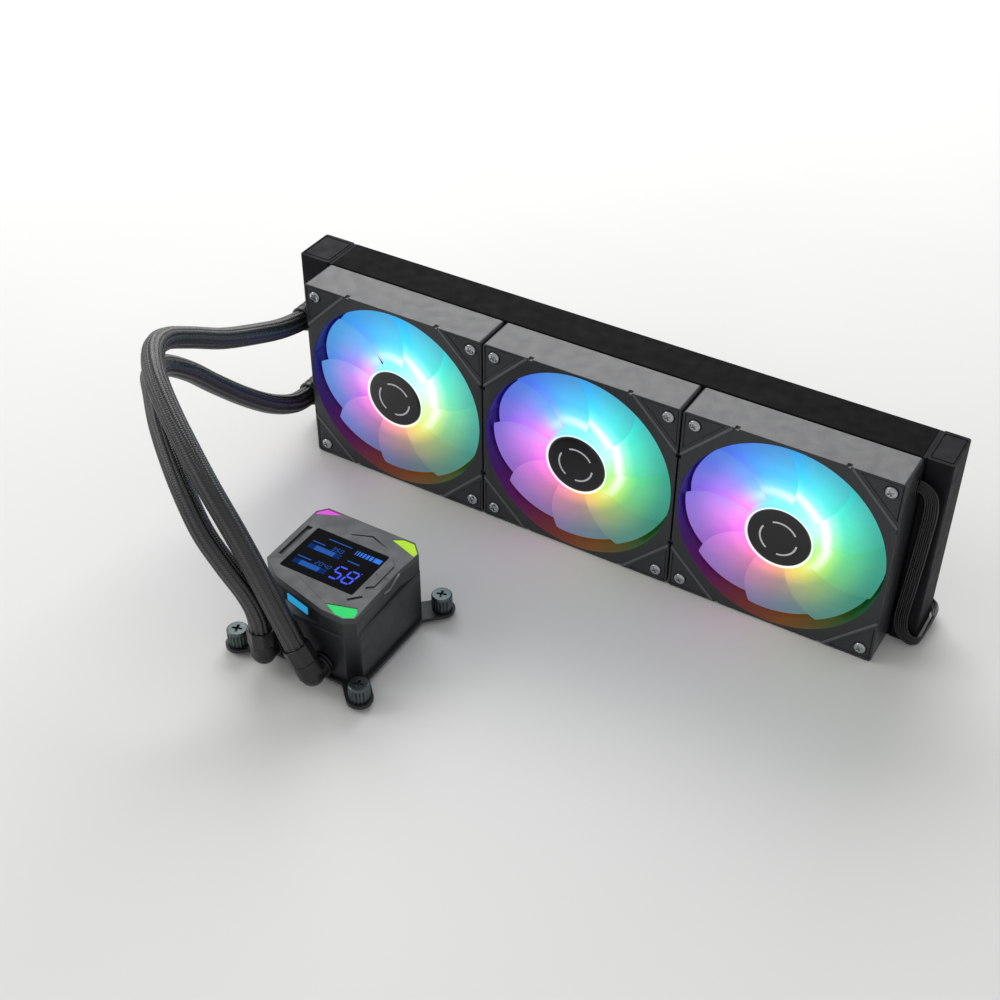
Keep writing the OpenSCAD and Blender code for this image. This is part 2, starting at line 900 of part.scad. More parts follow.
// A captive nut: a fluted head, a neck through the bracket and a retaining flange under it
module nut(sx, sy) {
    at_pump()
        translate([sx * nut_offset, sy * nut_offset, 0])
            difference() {
                union() {
                    translate([0, 0, bracket_z + 0.3])
                        cylinder(d = nut_d - 0.6, h = 8);
                    translate([0, 0, bracket_z + 8.3])
                        rotate_extrude()
                            polygon([
                                [0, 0], [nut_d / 2, 0], [nut_d / 2, 1], [nut_d / 2 - 0.7, 1.7], [0, 1.7]
                            ]);
                    for (k = [0 : 17])
                        rotate([0, 0, 20 * k])
                            translate([nut_d / 2 - 0.6, -0.45, bracket_z + 0.3])
                                cube([0.6, 0.9, 7.4]);
                    translate([0, 0, plate_z - 1.4])
                        cylinder(r = 3.42, h = 4);
                    translate([0, 0, plate_z - 1.6])
                        cylinder(r = 4.8, h = 1.2);
                }
                translate([0, 0, 1])
                    cylinder(r = 1.75, h = 10);
                for (a = [0, 90])
                    rotate([0, 0, a + 20])
                        translate([0, 0, bracket_z + 9.4])
                            cube([5.4, 1.3, 2.4], center = true);
            }
}

module nut_front_left() color("#6d7175") nut(-1, -1);

module nut_front_right() color("#6d7175") nut(1, -1);

module nut_back_left() color("#6d7175") nut(-1, 1);

module nut_back_right() color("#6d7175") nut(1, 1);

// The skirt round the housing, with round openings for the elbows and a notch for the lead
module lower_shell() color("#1d1f21") {
    at_pump()
        difference() {
            translate([0, 0, bracket_z])
                linear_extrude(seam_z - bracket_z)
                    chamfered(body_size, body_size, 6);
            translate([0, 0, bracket_z - 1])
                linear_extrude(seam_z - bracket_z + 2)
                    chamfered(63, 63, 5);
            for (x = [right_port_x - pump_x, left_port_x - pump_x])
                translate([x, -body_half - 1, port_z])
                    rotate([-90, 0, 0])
                        cylinder(r = 6.6, h = 5);
        }
}

// The outline of the cap: its front-left corner is cut back along two straight edges
function cap_outline() = [
    [-33, -16], [-20, -25], [15, -33.5], [28, -33.5], [33.5, -30], [33, -22], [32, 11],
    [33.5, 27], [27, 33.5], [-6, 33.5], [-29, 33.5], [-33.5, 28]
];

// Outlines of the three corner lenses, all inside the cap's outline
function corner_lenses() = [
    [[14, -28.5], [30, -23.5], [32, -26.5], [32.3, -30.2], [28, -32.6], [22.5, -32.6]],
    [[15, 29.4], [32.3, 24], [32.6, 27], [27, 32.6], [20.5, 32.6]],
    [[-32.6, 26], [-32.6, 28.2], [-28.8, 32.6], [-19, 32.6], [-24, 29.6]]
];

module upper_shell() color("#1d1f21") {
    at_pump()
        difference() {
            union() {
                translate([0, 0, seam_z])
                    linear_extrude(1.6)
                        chamfered(body_size, body_size, 6);
                translate([0, 0, seam_z])
                    linear_extrude(shell_top - seam_z)
                        polygon(cap_outline());
            }
            translate([0, 0, seam_z - 1])
                linear_extrude(shell_top - seam_z + 2)
                    polygon([
                        [-30.5, -14.5], [-19, -22.6], [15, -31], [27, -31], [30.5, -28], [29.5, 11],
                        [30.5, 26], [26, 31], [-28, 31], [-30.8, 27]
                    ]);
            // Seat of the front-left lamp
            translate([-20, -25, seam_z + 2.4])
                rotate([0, 0, atan2(-8.5, 35)])
                    translate([8, -0.4, 0])
                        cube([16, 1.6, 5]);
        }
}

module pump_board() color("#1e3a2a") {
    at_pump()
        translate([0, 0, board_z]) {
            difference() {
                linear_extrude(1.6)
                    chamfered(54, 54, 10);
                at_corners(40)
                    translate([0, 0, -1])
                        cylinder(r = 1.6, h = 4);
            }
            translate([-6, -6, 1.6])
                cube([10, 10, 1.4]);
            translate([10, -10, 1.6])
                cube([6, 6, 1]);
            translate([-12, 14, 1.6])
                cube([8, 5, 3]);
        }
}

// The display in its tray, on four legs over the board
module screen_module() color("#101722") {
    at_pump() {
        translate([0, 0.2, 44.4])
            cube([48, 36, 2.8], center = true);
        // Its face stands up through the cap's window, under the glass
        translate([-1.2, 0.2, 46.9])
            cube([45.6, 33.6, 2.4], center = true);
        for (sx = [-1, 1], sy = [-1, 1])
            translate([sx * 20, sy * 14, board_z + 1.6])
                cylinder(r = 1.5, h = 43 - board_z - 1.6 + tiny);
    }
}

module screen_glass() color("#0a0f1c") {
    at_pump()
        translate([-1.2, 0.2, cap_z - 1.9])
            linear_extrude(1.6)
                rounded(45.6, 33.6, 0.8);
}

module top_cap() color("#55585b") {
    at_pump()
        difference() {
            union() {
                translate([0, 0, shell_top])
                    linear_extrude(cap_z - shell_top)
                        polygon(cap_outline());
                // Raised strip beside the screen
                translate([24.6, 0, cap_z - tiny])
                    linear_extrude(0.7)
                        polygon([[0, -9], [3.6, -6], [3.6, 12], [0, 16]]);
            }
            translate([-1.2, 0.2, shell_top - 1])
                linear_extrude(6)
                    rounded(46, 34, 1);
            for (lens = corner_lenses())
                translate([0, 0, shell_top + 1])
                    linear_extrude(5)
                        polygon(lens);
            // Slot on the left and a bent groove behind the screen
            translate([-30, -10, cap_z - 1.5])
                cube([3, 26, 2]);
            translate([0, 0, cap_z - 0.8])
                linear_extrude(2)
                    polygon([[-6, 21.4], [5, 25.6], [17, 22.2], [5, 26.6], [-6, 22]]);
            translate([0, 0, cap_z - 0.8])
                linear_extrude(2)
                    polygon([[21, -20.5], [26.5, -14.6], [27.6, -15.6], [22.5, -21.4]]);
        }
}

// Lamp lenses at three corners of the cap, and the slanted one under its cut corner
module corner_lights() color("#7ff0b0") {
    at_pump() {
        for (lens = corner_lenses())
            translate([0, 0, shell_top + 1])
                linear_extrude(cap_z - shell_top - 1.3)
                    polygon(lens);
        translate([-20, -25, seam_z + 2.4])
            rotate([0, 0, atan2(-8.5, 35)])
                translate([8.1, -0.3, 0.1])
                    cube([15.8, 1.4, 4.8]);
    }
}

// ---------------------------------------------------------------- nodes

core_tubes();
core_fins();
header_plates();
flow_baffle();
tank_left();
tank_right();
rail_top();
rail_bottom();
port_barbs();
fill_plug();
hose_upper();
hose_lower();
hose_ferrules();
hose_collars();
pump_elbows();
elbow_seals();
for (n = [1 : 3]) {
    fan_frame(n);
    fan_rotor(n);
    fan_hub_cap(n);
    fan_yoke(n);
    fan_stator(n);
    fan_led_board(n);
    fan_corner_pads(n);
}
fan_bearings();
fan_screws();
lead_grommet();
fan_lead();
lead_plug();
cold_plate();
base_gasket();
pump_housing();
impeller();
impeller_shaft();
pump_stator();
bracket();
nut_front_left();
nut_front_right();
nut_back_left();
nut_back_right();
lower_shell();
upper_shell();
pump_board();
screen_module();
screen_glass();
top_cap();
corner_lights();
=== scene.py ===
"""Looks of an all-in-one liquid cooler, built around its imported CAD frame.

Lengths are in metres in the CAD frame: X runs along the radiator, -Y is the fan side, +Z is up.
"""

import json
import math

import bmesh
import bpy
import numpy as np
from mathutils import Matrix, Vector
from mathutils.geometry import delaunay_2d_cdt

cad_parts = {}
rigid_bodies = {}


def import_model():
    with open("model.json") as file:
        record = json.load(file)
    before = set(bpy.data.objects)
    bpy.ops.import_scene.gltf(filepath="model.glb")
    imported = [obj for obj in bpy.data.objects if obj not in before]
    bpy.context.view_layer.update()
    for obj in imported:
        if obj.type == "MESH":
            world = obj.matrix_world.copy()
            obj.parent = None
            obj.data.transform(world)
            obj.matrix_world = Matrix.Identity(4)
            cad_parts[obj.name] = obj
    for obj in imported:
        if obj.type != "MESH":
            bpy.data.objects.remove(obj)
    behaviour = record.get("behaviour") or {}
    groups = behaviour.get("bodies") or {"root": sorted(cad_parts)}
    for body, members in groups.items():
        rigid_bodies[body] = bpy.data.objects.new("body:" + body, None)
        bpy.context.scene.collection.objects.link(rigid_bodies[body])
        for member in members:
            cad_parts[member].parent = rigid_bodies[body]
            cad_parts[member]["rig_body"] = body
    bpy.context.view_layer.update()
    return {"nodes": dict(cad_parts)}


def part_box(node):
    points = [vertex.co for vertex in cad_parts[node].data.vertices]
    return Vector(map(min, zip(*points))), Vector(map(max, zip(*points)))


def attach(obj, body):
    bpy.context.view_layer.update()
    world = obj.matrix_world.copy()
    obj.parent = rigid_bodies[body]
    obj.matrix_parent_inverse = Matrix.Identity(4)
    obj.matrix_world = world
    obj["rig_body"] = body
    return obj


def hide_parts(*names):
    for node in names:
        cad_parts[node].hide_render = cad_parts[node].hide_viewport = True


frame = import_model()
NODES = frame["nodes"]

MM = 0.001
TURN = 2 * math.pi
FANS = (1, 2, 3)

# ---------------------------------------------------------------- camera

CAMERA_AT = Vector((0.312, -0.6365, 0.585))
CAMERA_AIM = Vector((-0.0479, -0.0395, 0.0158))
CAMERA_LENS_MM = 55.93
CAMERA_SENSOR_MM = 36.0


def make_camera():
    data = bpy.data.cameras.new("camera")
    data.lens = CAMERA_LENS_MM
    data.sensor_width = CAMERA_SENSOR_MM
    data.clip_start, data.clip_end = 0.01, 50
    camera = bpy.data.objects.new("camera", data)
    bpy.context.scene.collection.objects.link(camera)
    camera.location = CAMERA_AT
    camera.rotation_mode = "QUATERNION"
    camera.rotation_quaternion = (CAMERA_AIM - CAMERA_AT).to_track_quat("-Z", "Y")
    bpy.context.scene.camera = camera


make_camera()

# ---------------------------------------------------------------- colours and materials


def turns_of(degrees):
    """Where an angle lies on a ramp that starts on the left, at half a turn."""
    return (degrees / 360 + 0.5) % 1.0


def srgb(code):
    """Linear (r, g, b) of a colour written as six hexadecimal digits."""
    shares = [int(code[i:i + 2], 16) / 255 for i in (0, 2, 4)]
    return tuple(s / 12.92 if s <= 0.04045 else ((s + 0.055) / 1.055) ** 2.4 for s in shares)


def rgba(colour):
    return (*colour, 1.0)


BLACK = rgba((0, 0, 0))
WHITE = rgba((1, 1, 1))


class Nodes:
    """A material's node tree, with short calls for what the finishes below need."""

    def __init__(self, material):
        """Take a material that is there already, or make one from its name."""
        if isinstance(material, str):
            material = bpy.data.materials.new(material)
            material.use_nodes = True
        self.material = material
        self.tree = material.node_tree
        self.shader = self.tree.nodes["Principled BSDF"]
        self.place = self.add("ShaderNodeTexCoord").outputs["Object"]

    def from_point(self, centre):
        """X, Y and Z from a point."""
        parts = self.add("ShaderNodeSeparateXYZ")
        self.link(self.vector("SUBTRACT", self.place, tuple(centre)), parts.inputs[0])
        return parts.outputs

    def polar(self, centre):
        """Y and radius from a fan's centre, and the share of a turn from the left."""
        x, y, z = self.from_point(centre)
        share = self.math("MULTIPLY_ADD", self.math("ARCTAN2", z, x), 1 / TURN, 0.5)
        radius = self.math("SQRT", self.math(
            "ADD", self.math("MULTIPLY", x, x), self.math("MULTIPLY", z, z)))
        return y, radius, share

    def add(self, kind, **settings):
        made = self.tree.nodes.new(kind)
        for key, value in settings.items():
            setattr(made, key, value)
        return made

    def link(self, start, end):
        self.tree.links.new(start, end)
        return end

    def put(self, socket, value):
        """A socket from a number, a colour or another node's output."""
        if isinstance(value, bpy.types.NodeSocket):
            self.link(value, socket)
        else:
            socket.default_value = value

    def math(self, operation, first, second=0.0, third=0.0):
        made = self.add("ShaderNodeMath", operation=operation)
        for socket, value in zip(made.inputs, (first, second, third)):
            self.put(socket, value)
        return made.outputs[0]

    def vector(self, operation, first, second):
        made = self.add("ShaderNodeVectorMath", operation=operation)
        self.put(made.inputs[0], first)
        self.put(made.inputs[1], second)
        return made.outputs[0]

    def noise(self, scale, detail, place=None):
        made = self.add("ShaderNodeTexNoise")
        self.link(place or self.place, made.inputs["Vector"])
        made.inputs["Scale"].default_value = scale
        made.inputs["Detail"].default_value = detail
        made.inputs["Roughness"].default_value = 0.55
        return made.outputs["Fac"]

    def span(self, value, low, high, from_low=0.3, from_high=0.7, smooth=False):
        """A value carried from one range over to the range from low to high."""
        made = self.add("ShaderNodeMapRange", clamp=True)
        if smooth:
            made.interpolation_type = "SMOOTHSTEP"
        for name, number in (("From Min", from_low), ("From Max", from_high),
                             ("To Min", low), ("To Max", high)):
            made.inputs[name].default_value = number
        self.put(made.inputs["Value"], value)
        return made.outputs["Result"]

    def mix(self, share, first, second, blend="MIX"):
        made = self.add("ShaderNodeMix", data_type="RGBA", blend_type=blend)
        self.put(made.inputs["Factor"], share)
        self.put(made.inputs["A"], first)
        self.put(made.inputs["B"], second)
        return made.outputs["Result"]

    def ramp(self, value, stops):
        made = self.add("ShaderNodeValToRGB")
        elements = made.color_ramp.elements
        for _ in stops[2:]:
            elements.new(0.5)
        for element, (at, colour) in zip(list(elements), sorted(stops)):
            element.position = at
            element.color = rgba(colour)
        self.put(made.inputs["Fac"], value)
        return made.outputs["Color"]

    def wheel(self, share, colours):
        """Colours round a full turn, listed by degrees; the turn is closed at 180."""
        left = srgb(colours[180])
        stops = [(turns_of(a), srgb(c)) for a, c in colours.items() if a != 180]
        return self.ramp(share, stops + [(0.0, left), (1.0, left)])

    def bump(self, height, strength, distance, below=None):
        made = self.add("ShaderNodeBump")
        made.inputs["Strength"].default_value = strength
        made.inputs["Distance"].default_value = distance
        self.link(height, made.inputs["Height"])
        if below is not None:
            self.link(below, made.inputs["Normal"])
        return made.outputs["Normal"]

    def set(self, **values):
        """Sockets of the shader by name, with underscores for spaces."""
        for name, value in values.items():
            self.put(self.shader.inputs[name.replace("_", " ")], value)
        return self


def scaled(colour, share):
    return tuple(min(1.0, c * share) for c in colour)


def finish_of(name, colour, rough, metal=0.0, vary=0.12, vary_scale=45.0, rough_vary=0.07,
              grain=0.25, grain_scale=2600.0, grain_depth=0.00003, coat=0.0, specular=0.5):
    """A moulded, coated or machined surface: uneven colour and gloss over a fine grain."""
    n = Nodes(name)
    shade = n.mix(n.noise(vary_scale, 4),
                  rgba(scaled(colour, 1 - vary)), rgba(scaled(colour, 1 + vary)))
    fine = n.noise(grain_scale, 2)
    n.set(
        Base_Color=shade,
        Roughness=n.span(n.noise(vary_scale * 3, 3), rough - rough_vary, rough + rough_vary),
        Metallic=metal,
        Normal=n.bump(fine, grain, grain_depth),
        Coat_Weight=coat,
        Specular_IOR_Level=specular,
    )
    return n.material


# ---------------------------------------------------------------- meshes


def piece_from(name, mesh, material, body, stands_for=(), smooth_angle=None):
    """A finished piece of the object, riding on a body and standing for its CAD nodes."""
    made = bpy.data.objects.new(name, mesh)
    bpy.context.scene.collection.objects.link(made)
    mesh.materials.append(material)
    mesh.shade_smooth()
    if smooth_angle is not None:
        mesh.set_sharp_from_angle(angle=math.radians(smooth_angle))
    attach(made, body)
    if stands_for:
        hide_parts(*stands_for)
    return made


def mesh_from_arrays(name, points, faces):
    mesh = bpy.data.meshes.new(name)
    mesh.from_pydata([tuple(p) for p in points], [], [tuple(int(i) for i in f) for f in faces])
    mesh.validate()
    mesh.update()
    return mesh


def body_of_node(node):
    return NODES[node]["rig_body"]


FLAT = math.radians(0.4)
SAME_PLANE = 5e-6
SAME_POINT = 2e-6
LAPPED = 1.002
CREASE_DEGREES = 28.0
SMOOTH_DEGREES = 50


def flat_regions(bm):
    """Groups of touching faces that lie in one plane."""
    seen, groups = set(), []
    for start in bm.faces:
        if start in seen:
            continue
        seen.add(start)
        group, queue = [], [start]
        while queue:
            face = queue.pop()
            group.append(face)
            for edge in face.edges:
                for other in edge.link_faces:
                    if other not in seen and other.normal.angle(start.normal, 4) < FLAT:
                        seen.add(other)
                        queue.append(other)
        groups.append(group)
    return groups


def outlines_of(group):
    """The closed outlines of a flat region, each as a list of its corners."""
    inside = set(group)
    rim = {}
    for face in group:
        for edge in face.edges:
            if sum(other in inside for other in edge.link_faces) == 1:
                a, b = edge.verts
                rim.setdefault(a, []).append(b)
                rim.setdefault(b, []).append(a)
    loops = []
    while rim:
        queue, loop = [next(iter(rim))], []
        while queue:
            vert = queue.pop()
            if vert in rim:
                loop.append(vert.co.copy())
                queue += rim.pop(vert)
        loops.append(loop)
    return loops


def merge_flats(bm):
    """Join coplanar triangles into plain faces, with one cut through every hole."""
    cuts = []
    for group in flat_regions(bm):
        if len(group) < 6:
            continue
        loops = outlines_of(group)
        if len(loops) < 2:
            continue
        sizes = [[max(c[k] for c in loop) - min(c[k] for c in loop) for k in range(3)]
                 for loop in loops]
        outer = max(range(len(loops)), key=lambda i: sum(sizes[i]))
        axis = max(range(3), key=lambda k: sizes[outer][k])
        across = Vector([float(k == axis) for k in range(3)])
        normal, at = group[0].normal.copy(), group[0].verts[0].co.copy()
        for i, loop in enumerate(loops):
            if i != outer:
                middle = sum(loop, Vector()) / len(loop)
                cuts.append((middle, across, normal, at))
    for middle, across, normal, at in cuts:
        flat = [f for f in bm.faces if f.normal.angle(normal, 4) < FLAT
                and abs((f.verts[0].co - at).dot(normal)) < SAME_PLANE]
        edges, verts = [e for f in flat for e in f.edges], [v for f in flat for v in f.verts]
        parts = list(dict.fromkeys(flat + edges + verts))
        made = bmesh.ops.bisect_plane(
            bm, geom=parts, dist=1e-7, plane_co=middle, plane_no=across)
        for part in made["geom_cut"]:
            if isinstance(part, bmesh.types.BMEdge):
                part.seam = True
    bmesh.ops.dissolve_limit(
        bm, angle_limit=FLAT, use_dissolve_boundaries=False, verts=bm.verts, edges=bm.edges,
        delimit={"SEAM"})


def fill_afresh(bm):
    """Fill the many-sided faces again where the usual fill would lap over their outline."""
    filled = {}
    for a, b, c in bm.calc_loop_triangles():
        if len(a.face.verts) > 3:
            a_at, b_at, c_at = a.vert.co, b.vert.co, c.vert.co
            area = (b_at - a_at).cross(c_at - a_at).length / 2
            filled[a.face] = filled.get(a.face, 0) + area
    for face in [f for f, area in filled.items() if area > LAPPED * f.calc_area() + 1e-9]:
        corners = list(face.verts)
        lay = face.normal.rotation_difference(Vector((0, 0, 1))).to_matrix()
        back = lay.inverted()
        flat = [lay @ v.co for v in corners]
        height = sum(p.z for p in flat) / len(flat)
        spots, _, parts, origins, *_ = delaunay_2d_cdt(
            [p.to_2d() for p in flat], [], [list(range(len(flat)))], 1, 1e-7)
        verts = [corners[came[0]] if came else bm.verts.new(back @ Vector((*spot, height)))
                 for spot, came in zip(spots, origins)]
        bm.faces.remove(face)
        for part in parts:
            trio = [verts[k] for k in part]
            if len(set(trio)) == 3 and not bm.faces.get(trio):
                bm.faces.new(trio)


def refined(node, width, material, segments=2, sharp=CREASE_DEGREES):
    """A CAD node's own shape with its outer sharp edges rounded over by width."""
    bm = bmesh.new()
    bm.from_mesh(NODES[node].data)
    bmesh.ops.remove_doubles(bm, verts=bm.verts, dist=SAME_POINT)
    merge_flats(bm)
    creases = [
        e for e in bm.edges
        if len(e.link_faces) == 2 and e.is_convex and e.calc_face_angle(0) > math.radians(sharp)]
    bmesh.ops.bevel(
        bm, geom=creases, offset=width, offset_type="OFFSET", segments=segments, profile=0.5,
        affect="EDGES", clamp_overlap=False)
    fill_afresh(bm)
    mesh = bpy.data.meshes.new(node + "_finished")
    bm.to_mesh(mesh)
    bm.free()
    made = piece_from(mesh.name, mesh, material, body_of_node(node), (node,),
                      SMOOTH_DEGREES)
    weighted = made.modifiers.new("weighted normals", "WEIGHTED_NORMAL")
    weighted.keep_sharp = True
    return made


def keep_node(node, material):
    """A CAD node that shows as it is, with a better material."""
    data = NODES[node].data
    data.materials.clear()
    data.materials.append(material)


def smooth_path(route, step):
    """Points a step apart on a smooth curve through the route's points."""
    p = np.array(route, float)
    ends = np.vstack([2 * p[0] - p[1], p, 2 * p[-1] - p[-2]])
    dense = []
    for i in range(1, len(ends) - 2):
        a, b, c, d = ends[i - 1:i + 3]
        count = max(4, int(np.linalg.norm(c - b) / step * 3))
        t = np.linspace(0, 1, count, endpoint=False)[:, None]
        dense.append(0.5 * (2 * b + (c - a) * t + (2 * a - 5 * b + 4 * c - d) * t ** 2
                            + (3 * b - a - 3 * c + d) * t ** 3))
    dense = np.vstack([*dense, p[-1:]])
    run = np.concatenate([[0], np.cumsum(np.linalg.norm(np.diff(dense, axis=0), axis=1))])
    at = np.linspace(0, run[-1], max(2, int(round(run[-1] / step)) + 1))
    return np.stack([np.interp(at, run, dense[:, k]) for k in range(3)], axis=1), at


def carried_frames(path, start):
    """Two side directions carried along the path without twisting."""
    tangents = np.gradient(path, axis=0)
    tangents /= np.linalg.norm(tangents, axis=1)[:, None]
    sides = np.empty_like(path)
    side = np.array(start, float)
    for i, t in enumerate(tangents):
        side = side - (side @ t) * t
        side /= np.linalg.norm(side)
        sides[i] = side
    return sides, np.cross(tangents, sides)


def round_the_path(path, side, up, theta, radius):
    """Rings of points about a path, at one radius or at a grid of radii."""
    return path[:, None, :] + np.asarray(radius)[..., None] * (
        side[:, None, :] * np.cos(theta)[:, None] + up[:, None, :] * np.sin(theta)[:, None])


def grid_faces(rings, around, base=0):
    """Quads of a tube of rings, without its two ends."""
    i = np.arange(rings - 1)[:, None] * around
    k = np.arange(around)[None, :]
    a, b = i + k, i + (k + 1) % around
    return np.stack([a, b, b + around, a + around], axis=2).reshape(-1, 4) + base


def tube_mesh(name, grids, uvs=None):
    """One mesh of several closed tubes; each grid is rings x around x 3."""
    mesh = bpy.data.meshes.new(name)
    points, quads, caps, base = [], [], [], 0
    for grid in grids:
        rings, around = grid.shape[:2]
        points.append(grid.reshape(-1, 3))
        quads.append(grid_faces(rings, around, base))
        caps.append([base + k for k in range(around - 1, -1, -1)])
        caps.append([base + (rings - 1) * around + k for k in range(around)])
        base += rings * around
    points, quads = np.vstack(points), np.vstack(quads)
    mesh.from_pydata(points.tolist(), [], quads.tolist() + caps)
    if uvs is not None:
        layer = mesh.uv_layers.new(name="strands")
        corners = np.empty(len(mesh.loops), np.int32)
        mesh.loops.foreach_get("vertex_index", corners)
        layer.data.foreach_set("uv", uvs.reshape(-1, 2)[corners].astype(np.float32).ravel())
    mesh.update()
    return mesh


# ---------------------------------------------------------------- hoses

HOSE_D = 0.012
STRANDS = 12
BRAID_LEAD = 0.0156
STRAND_LIFT = 0.0003
HOSE_STEP = 0.00021
HOSE_AROUND = 112

UPPER_ROUTE = [
    (-0.190, -0.017, 0.087), (-0.190, -0.030, 0.087), (-0.189, -0.052, 0.093),
    (-0.188, -0.076, 0.103), (-0.190, -0.100, 0.113), (-0.193, -0.122, 0.125),
    (-0.191, -0.142, 0.136), (-0.182, -0.160, 0.142), (-0.167, -0.176, 0.141),
    (-0.149, -0.188, 0.133), (-0.131, -0.197, 0.122), (-0.115, -0.203, 0.108),
    (-0.100, -0.206, 0.090), (-0.087, -0.207, 0.068), (-0.077, -0.2065, 0.046),
    (-0.070, -0.206, 0.030), (-0.065, -0.206, 0.0207),
]
LOWER_ROUTE = [
    (-0.190, -0.017, 0.033), (-0.190, -0.030, 0.033), (-0.190, -0.046, 0.036),
    (-0.192, -0.064, 0.046), (-0.196, -0.082, 0.061), (-0.200, -0.100, 0.079),
    (-0.202, -0.118, 0.098), (-0.200, -0.138, 0.114), (-0.190, -0.156, 0.122),
    (-0.175, -0.171, 0.124), (-0.159, -0.186, 0.120), (-0.143, -0.198, 0.112),
    (-0.128, -0.207, 0.101), (-0.115, -0.212, 0.087), (-0.103, -0.212, 0.071),
    (-0.095, -0.209, 0.055), (-0.091, -0.207, 0.040), (-0.091, -0.206, 0.022),
]


def sleeve_material():
    """Black nylon sleeve: fine filaments along each strand, with painted shade in the gaps between
    strands and a painted highlight on their crowns.
    """
    n = Nodes("braided_sleeve")
    uv = n.add("ShaderNodeUVMap", uv_map="strands").outputs["UV"]
    parts = n.add("ShaderNodeSeparateXYZ")
    n.link(uv, parts.inputs[0])
    across, lift = parts.outputs[0], parts.outputs[1]
    filaments = n.math("SINE", n.math("MULTIPLY", across, TURN * 4))
    fuzz = n.noise(5000, 2)
    # Colour by the braid's height: painted shade in the low gaps, a painted highlight on the high
    # crowns
    colour = n.ramp(lift, [(0.0, srgb("000000")), (0.45, srgb("08090a")), (0.8, srgb("1c1e20")),
                            (1.0, srgb("4a4d50"))])
    n.set(
        Base_Color=n.mix(0.1, colour, n.mix(n.noise(700, 3), rgba(srgb("060607")),
                                            rgba(srgb("222426")))),
        Roughness=n.span(n.noise(900, 3), 0.16, 0.3),
        Specular_IOR_Level=0.75,
        Normal=n.bump(fuzz, 0.12, 0.00004, n.bump(filaments, 0.35, 0.00005)),
    )
    return n.material


def braid(theta, run):
    """Height of the braid from 0 to 1, and the coordinate across the strand on top.

    Columns along the hose show strands that slant one way and the other in turn, with a
    furrow where they dive under each other.
    """
    column = STRANDS * theta / TURN
    slant = STRANDS * run / BRAID_LEAD
    odd = np.floor(column) % 2 == 1
    strand = np.where(odd, column - slant, column + slant)
    across = strand - np.floor(strand)
    crown = np.sin(math.pi * (column - np.floor(column))) ** 0.5
    rounding = np.sqrt(np.clip(1 - (2 * across - 1) ** 2, 0, 1))
    height = crown * (0.45 + 0.55 * rounding)
    # Every other column is kept lower, and so painted darker by the sleeve's colour ramp: painted
    # shade for the glint that differs from column to column
    return np.where(odd, 0.85 * height, height), across


def make_hose(name, route, node, material):
    """A hose along its route, with the braid in its surface and its UV map."""
    path, run = smooth_path(route, HOSE_STEP)
    side, up = carried_frames(path, (1, 0, 0))
    theta = np.arange(HOSE_AROUND) * TURN / HOSE_AROUND
    run_grid, theta_grid = np.meshgrid(run, theta, indexing="ij")
    lift, across = braid(theta_grid, run_grid)
    radius = HOSE_D / 2 - STRAND_LIFT * 1.6 + lift * STRAND_LIFT * 2
    grid = round_the_path(path, side, up, theta, radius)
    mesh = tube_mesh(name, [grid], np.stack([across, lift], axis=2))
    hose = piece_from(name, mesh, material, "cooler", (node,))


sleeve = sleeve_material()
make_hose("hose_upper_sleeve", UPPER_ROUTE, "hose_upper", sleeve)
make_hose("hose_lower_sleeve", LOWER_ROUTE, "hose_lower", sleeve)

# ---------------------------------------------------------------- fan lead

CORES = 7
CORE_R = 0.00052
CORE_SIDES = 10
CORE_PLAY = 0.00022
LEAD_WIDTH = 0.0075
LEAD_STEP = 0.0012
LEAD_HELD = 0.02
LEAD_ROUTE = [
    (0.1792, -0.018, 0.106), (0.1834, -0.018, 0.1052), (0.1868, -0.018, 0.1022),
    (0.1884, -0.018, 0.097), (0.1888, -0.018, 0.089), (0.1884, -0.018, 0.076),
    (0.1876, -0.0176, 0.058), (0.1866, -0.0172, 0.040), (0.1858, -0.017, 0.027),
    (0.1856, -0.0168, 0.0175), (0.1868, -0.0166, 0.0104), (0.190, -0.0162, 0.0058),
    (0.194, -0.0156, 0.0042), (0.1968, -0.0124, 0.0039), (0.1974, -0.006, 0.0039),
    (0.1974, 0.004, 0.0039), (0.1966, 0.013, 0.0039), (0.193, 0.0178, 0.0039),
    (0.186, 0.0198, 0.0032), (0.176, 0.0206, 0.002), (0.164, 0.021, 0.0012),
    (0.150, 0.021, 0.001), (0.130, 0.0205, 0.001), (0.110, 0.020, 0.001), (0.090, 0.0205, 0.001),
    (0.070, 0.021, 0.001), (0.050, 0.021, 0.001), (0.030, 0.0205, 0.001), (0.010, 0.020, 0.001),
    (-0.010, 0.020, 0.001), (-0.026, 0.020, 0.001),
]


def lead_roll(i):
    """How far the lead has rolled from its edge onto its flat side at one route point."""
    return min(90, max(0, 30 * (i - 17)))


